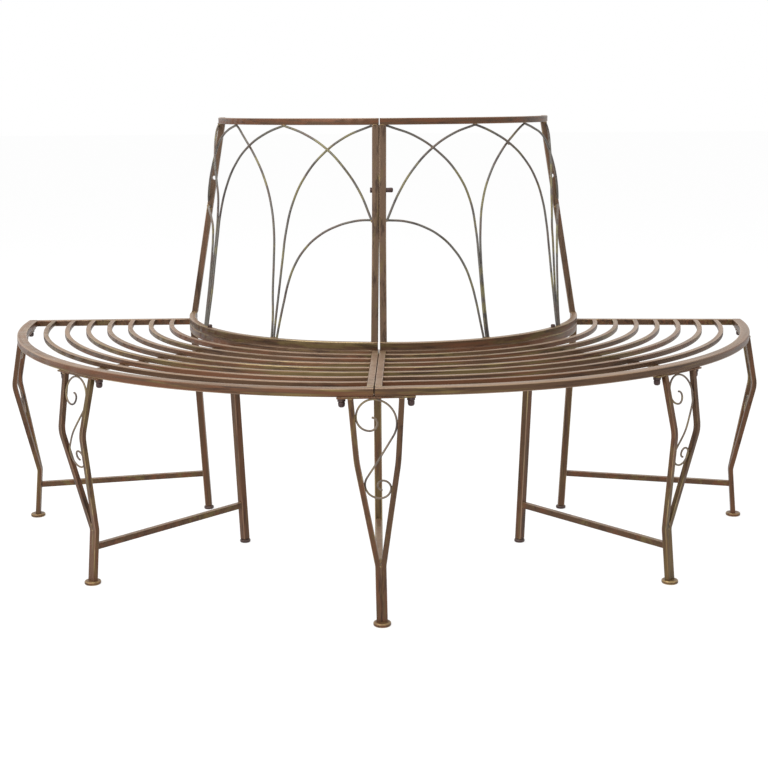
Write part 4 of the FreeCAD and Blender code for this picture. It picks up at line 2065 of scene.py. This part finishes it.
@dataclass
class Hardware:
    """The bolt that joins the two seam posts and the bolts that clamp the back to the seat."""

    finishes: Finishes
    back: Back
    nuts: Nuts = Nuts()
    bolt_height: float = 744.5 * MM
    across: float = 10 * MM
    head_height: float = 4 * MM
    dome_height: float = 13.5 * MM
    rail_turn: float = 57.6
    rail_head: float = 6.5 * MM
    rail_nut: float = 5 * MM

    def place(self, piece: bpy.types.Object, matrix: Matrix, node: str) -> None:
        """Moves a fastener to its place and puts it on the bench."""
        piece.data.transform(matrix)
        dress(self.nuts.finished(piece, self.across), node, self.finishes.dark)

    def seam_bolt(self) -> None:
        """The bolt's head on the left seam post and its closed nut on the right one."""
        back = self.back
        centre = at_turn(0, back.radius(self.bolt_height), self.bolt_height)
        centre = sideways(back.seam_drift, back.foot_height, back.post_top) @ centre
        half_pack = RIGHT * (back.post_touch + back.post_width)
        head = self.nuts.hexagon(self.across, self.head_height)
        nut = self.nuts.dome(self.across, self.dome_height)
        for piece, hand, node in ((head, -1, "seam_bolt"), (nut, 1, "seam_nut")):
            turn = Matrix.Rotation(hand * math.pi / 2, 4, "Y")
            self.place(piece, Matrix.Translation(centre + half_pack * hand) @ turn, node)

    def rail_bolts(self) -> None:
        """The bolts through the bottom rail, and their nuts under the inner rim."""
        seat = self.back.seat
        upper = at_turn(self.rail_turn, seat.inner_radius, self.back.rail_top)
        lower = at_turn(self.rail_turn, seat.inner_radius, seat.height - seat.rim.height)
        head = self.nuts.dome(self.across, self.rail_head)
        head.data.transform(Matrix.Translation(upper))
        nut = self.nuts.hexagon(self.across, self.rail_nut)
        nut.data.transform(Matrix.Translation(lower - UP * self.rail_nut))
        for piece, node in ((head, "rail_bolts"), (nut, "rail_nuts")):
            self.place(merged([piece, twin(piece, MIRROR)]), STILL, node)

    def build(self) -> None:
        """Makes all the fasteners of the back."""
        self.seam_bolt()
        self.rail_bolts()


# How unevenly a bead of weld runs.
UNEVEN = {"offset": 0.06, "uniform": 0.2, "normal": 0.6}


@dataclass
class Welds:
    """Rippled beads where bars, wires and posts meet, with gold rubbed over them."""

    finishes: Finishes
    back: Back
    legs: Legs
    seed: int = 1
    on_rail: Vector = field(default_factory=lambda: Vector((6.4, 6.6, 3.2)) * MM)
    on_post: Vector = field(default_factory=lambda: Vector((3.2, 6.4, 6.4)) * MM)
    under_rail: Vector = field(default_factory=lambda: Vector((10, 6.4, 3.4)) * MM)
    on_crossing: Vector = field(default_factory=lambda: Vector((5.4, 6, 5.4)) * MM)
    along_bar: Vector = field(default_factory=lambda: Vector((10, 2.4, 2.4)) * MM)
    in_crotch: Vector = field(default_factory=lambda: Vector((3.6, 3.4, 9)) * MM)
    at_ankle: Vector = field(default_factory=lambda: Vector((8, 2.8, 3)) * MM)
    on_scroll: Vector = field(default_factory=lambda: Vector((2.6, 3.4, 7)) * MM)
    crotch_height: float = 118 * MM
    ankle_height: float = 107.5 * MM
    sunk: float = 0.6 * MM
    sunk_share: float = 0.9
    below_rail: float = 2 * MM
    crown_reach: float = 4 * MM
    post_turns: Point = (2, 90)
    crossings: dict[Side, tuple[Point, ...]] = field(
        default_factory=lambda: {
            Side.LEFT: ((16, 822), (47.5, 827)),
            Side.RIGHT: ((17, 825), (47, 829)),
        }
    )

    def bead(self, place: Vector, size: Vector, turn: float = 0.0) -> bpy.types.Object:
        """A rough bead of weld.

        Args:
            place: its middle.
            size: its length, depth and height before it is turned.
            turn: degrees round the upright axis.

        Returns:
            The new piece.
        """
        clear_selection()
        bpy.ops.mesh.primitive_ico_sphere_add(subdivisions=2, radius=0.5)
        piece = bpy.context.object
        with editing(piece):
            bpy.ops.transform.vertex_random(seed=self.seed, **UNEVEN)
        self.seed += 1
        piece.scale = size
        piece.rotation_euler = (0, 0, math.radians(turn))
        piece.location = place
        settle(piece)
        return piece

    def wire_end(self, turn: float, height: float, outward_by: float) -> bpy.types.Object:
        """The bead where a wire's end meets a rail or a post.

        Args:
            turn: degrees from the seam.
            height: height in millimetres.
            outward_by: how far the wire stands out of the back.

        Returns:
            The bead.
        """
        back = self.back
        seam_turn, end_turn = self.post_turns
        held = min(max(height * MM, back.rail_top), back.post_top - self.below_rail)
        place = back.on_back(turn, held, outward_by)
        if turn < seam_turn:
            place.x = back.post_width
            return self.bead(place, self.on_post)
        if turn >= end_turn:
            place.y = TRUNK_Y - back.rail.width
            return self.bead(place, self.on_post, 90)
        return self.bead(place, self.on_rail, turn)

    def on_wires(self, side: Side) -> list[bpy.types.Object]:
        """The beads at the ends, the crowns and the crossings of one side's wires.

        Args:
            side: the side.

        Returns:
            The beads, on the right-hand side.
        """
        back = self.back
        beads = []
        for strand in back.strands:
            stations = strand.on(side)
            outward_by = strand.hand * back.wire_pass
            for turn, height, *_ in (stations[0], stations[-1]):
                beads.append(self.wire_end(turn, height, outward_by))
            turn, height, *_ = max(stations, key=lambda station: station[1])
            if 0 < back.post_top - height * MM < self.crown_reach:
                crown = back.on_back(turn, back.post_top, outward_by)
                beads.append(self.bead(crown, self.under_rail, turn))
        for turn, height in self.crossings[side]:
            crossing = back.on_back(turn, height * MM, 0)
            beads.append(self.bead(crossing, self.on_crossing, turn))
        return beads

    def on_posts(self) -> list[bpy.types.Object]:
        """The beads at the feet and tops of the right-hand posts.

        Returns:
            The beads.
        """
        back = self.back
        half = back.rail.width / 2
        beads = []
        for height in (back.rail_top, back.post_top):
            radius = back.radius(height)
            for place, turn in (
                (Vector((half, TRUNK_Y - radius - half, height)), 0),
                (Vector((radius, TRUNK_Y - 2 * half, height)), 0),
                (Vector((radius + half, TRUNK_Y - half, height)), 90),
            ):
                beads.append(self.bead(place, self.along_bar, turn))
        return beads

    def on_leg(self) -> bpy.types.Object:
        """The beads of one outer leg, at the seam.

        Returns:
            The beads as one piece.
        """
        legs, scroll = self.legs, Scroll(self.legs)
        half = legs.bar.width / 2
        front, top = legs.top_radius + half - self.sunk, legs.bar_top - self.sunk
        beads = []
        for hand in (-1, 1):
            place = Vector((hand * legs.top_spread, TRUNK_Y - front, top))
            beads.append(self.bead(place, self.along_bar))
        crotch, ankle = (self.crotch_height, self.in_crotch), (self.ankle_height, self.at_ankle)
        for height, size in (crotch, ankle):
            radius, _, _ = scroll.bar_at(height)
            place = Vector((0, TRUNK_Y - radius - half * self.sunk_share, height))
            beads.append(self.bead(place, size))
        beads += [self.bead(place, self.on_scroll) for place in scroll.touches()]
        return merged(beads)

    def finish(self, beads: Sequence[bpy.types.Object], name: str) -> None:
        """Joins beads and puts them on the bench.

        Args:
            beads: the beads, which are used up.
            name: the piece's name.
        """
        piece = merged(beads)
        smooth(piece, ROUND_ANGLE)
        show(piece, name, self.finishes.weld)

    def build(self) -> None:
        """Makes all the beads."""
        posts = merged(self.on_posts())
        left = merged(self.on_wires(Side.LEFT))
        self.finish([twin(left, MIRROR), twin(posts, MIRROR)], "left_back_welds")
        self.finish(self.on_wires(Side.RIGHT) + [posts], "right_back_welds")
        pattern = self.on_leg()
        beads = []
        rise = UP * (self.legs.stretcher / 2)
        for stand in self.legs.stands:
            beads.append(self.legs.stood(pattern, stand))
            start, end = self.legs.stretcher_ends(stand.turn, stand.inner_turn)
            beads.append(self.bead(start + rise, self.along_bar, stand.turn))
            beads.append(self.bead(end + rise, self.along_bar, stand.inner_turn))
        remove(left, pattern)
        self.finish(beads, "leg_welds")


@dataclass(frozen=True)
class Lamp:
    """A square soft light, with its place and size in metres and its power in watts."""

    name: str
    place: tuple[float, float, float]
    size: float
    power: float


@dataclass
class Studio:
    """White backdrop, soft lights and the camera of the photograph."""

    ambient: float = 0.62
    floor_size: float = 80.0
    floor_colour: Colour = (0.86, 0.86, 0.86)
    floor_glow: float = 1.16
    floor_glow_share: float = 0.72
    picture: int = 768
    sensor: float = 36.0
    clip: Point = (0.05, 200)
    focal_pixels: float = 1467.97
    principal_x: float = 383.787
    swing: float = -1.1943
    pitch: float = 0.190413
    roll: float = -0.007009
    distance: float = 3267.509 * MM
    height: float = 915.569 * MM
    aim_height: float = 0.45
    lamps: tuple[Lamp, ...] = (
        Lamp("overhead", (-0.8, -0.6, 4.2), 3.2, 98),
        Lamp("front_left", (-3.2, -3.4, 2.4), 2.4, 100),
        Lamp("front_right", (3.4, -3.0, 1.8), 2.4, 10),
    )

    def camera(self) -> None:
        """Puts the camera at the photograph's place."""
        data = bpy.data.cameras.new("camera")
        camera = bpy.data.objects.new("camera", data)
        bpy.context.scene.collection.objects.link(camera)
        data.sensor_width = self.sensor
        data.lens = data.sensor_width * self.focal_pixels / self.picture
        data.shift_x = (self.picture / 2 - self.principal_x) / self.picture
        data.clip_start, data.clip_end = self.clip
        swing = math.radians(self.swing)
        level_share, drop = math.cos(self.pitch), math.sin(self.pitch)
        forward = Vector((math.sin(swing) * level_share, math.cos(swing) * level_share, -drop))
        level = Vector((math.cos(swing), -math.sin(swing), 0))
        upright = level.cross(forward)
        right = math.cos(self.roll) * level + math.sin(self.roll) * upright
        above = math.cos(self.roll) * upright - math.sin(self.roll) * level
        turn = Matrix((right, above, -forward)).transposed().to_4x4()
        front = TRUNK_Y - self.distance * math.cos(swing)
        place = Vector((-self.distance * math.sin(swing), front, self.height))
        camera.matrix_world = Matrix.Translation(place) @ turn
        bpy.context.scene.camera = camera

    def seen(self, mixer: Mixer) -> Signal:
        """1 for what the camera, a reflection or a clear body sees, and 0 for light.

        Args:
            mixer: the node tree it is worked out in.

        Returns:
            The number.
        """
        rays = mixer.node("ShaderNodeLightPath").outputs
        camera, glossy, clear = (
            Signal(mixer, rays[f"Is {kind} Ray"]) for kind in ("Camera", "Glossy", "Transmission")
        )
        return camera.larger(glossy).larger(clear)

    def backdrop(self) -> None:
        """The white world."""
        world = bpy.data.worlds.new("studio")
        bpy.context.scene.world = world
        mixer = Mixer(world)
        limits = {"Value": self.seen(mixer), "To Min": self.ambient, "To Max": 1.0}
        strength = mixer.node("ShaderNodeMapRange", limits).outputs[0]
        white = mixer.node("ShaderNodeBackground", {"Color": (1, 1, 1, 1), "Strength": strength})
        mixer.node("ShaderNodeOutputWorld", {"Surface": white.outputs[0]})

    def floor(self) -> None:
        """The pale floor that keeps the bench's soft shadow."""
        clear_selection()
        bpy.ops.mesh.primitive_plane_add(size=self.floor_size)
        floor = bpy.context.object
        floor.name = "studio_floor"
        material = bpy.data.materials.new("studio_floor")
        mixer = Mixer(material)
        matt = mixer.node("ShaderNodeBsdfDiffuse", {"Color": (*self.floor_colour, 1)})
        glow = mixer.node("ShaderNodeEmission", {"Strength": self.floor_glow})
        share = self.seen(mixer) * self.floor_glow_share
        mix = mixer.node("ShaderNodeMixShader", {0: share, 1: matt.outputs[0], 2: glow.outputs[0]})
        mixer.node("ShaderNodeOutputMaterial", {"Surface": mix.outputs[0]})
        floor.data.materials.append(material)

    def light(self, lamp: Lamp) -> None:
        """Puts up a lamp, aimed at the bench.

        Args:
            lamp: the lamp.
        """
        data = bpy.data.lights.new(lamp.name, "AREA")
        data.size = lamp.size
        data.energy = lamp.power
        light = bpy.data.objects.new(lamp.name, data)
        bpy.context.scene.collection.objects.link(light)
        aim = UP * self.aim_height - Vector(lamp.place)
        light.rotation_mode = "QUATERNION"
        light.rotation_quaternion = aim.to_track_quat("-Z", "Y")
        light.location = lamp.place

    def build(self) -> None:
        """Sets up camera, backdrop, lights and colour handling."""
        self.camera()
        self.backdrop()
        self.floor()
        for lamp in self.lamps:
            self.light(lamp)
        bpy.context.scene.view_settings.view_transform = "Standard"


def main() -> None:
    """Builds the sub-assemblies in order and reports each piece."""
    logging.basicConfig(level=logging.INFO, format="%(name)s: %(message)s")
    finishes = Finishes.mixed()
    seat = Seat(finishes)
    seat.build()
    back = Back(finishes, seat)
    back.build()
    legs = Legs(finishes, seat)
    legs.build()
    Hardware(finishes, back).build()
    Welds(finishes, back, legs).build()
    Studio().build()


if __name__ == "__main__":
    main()
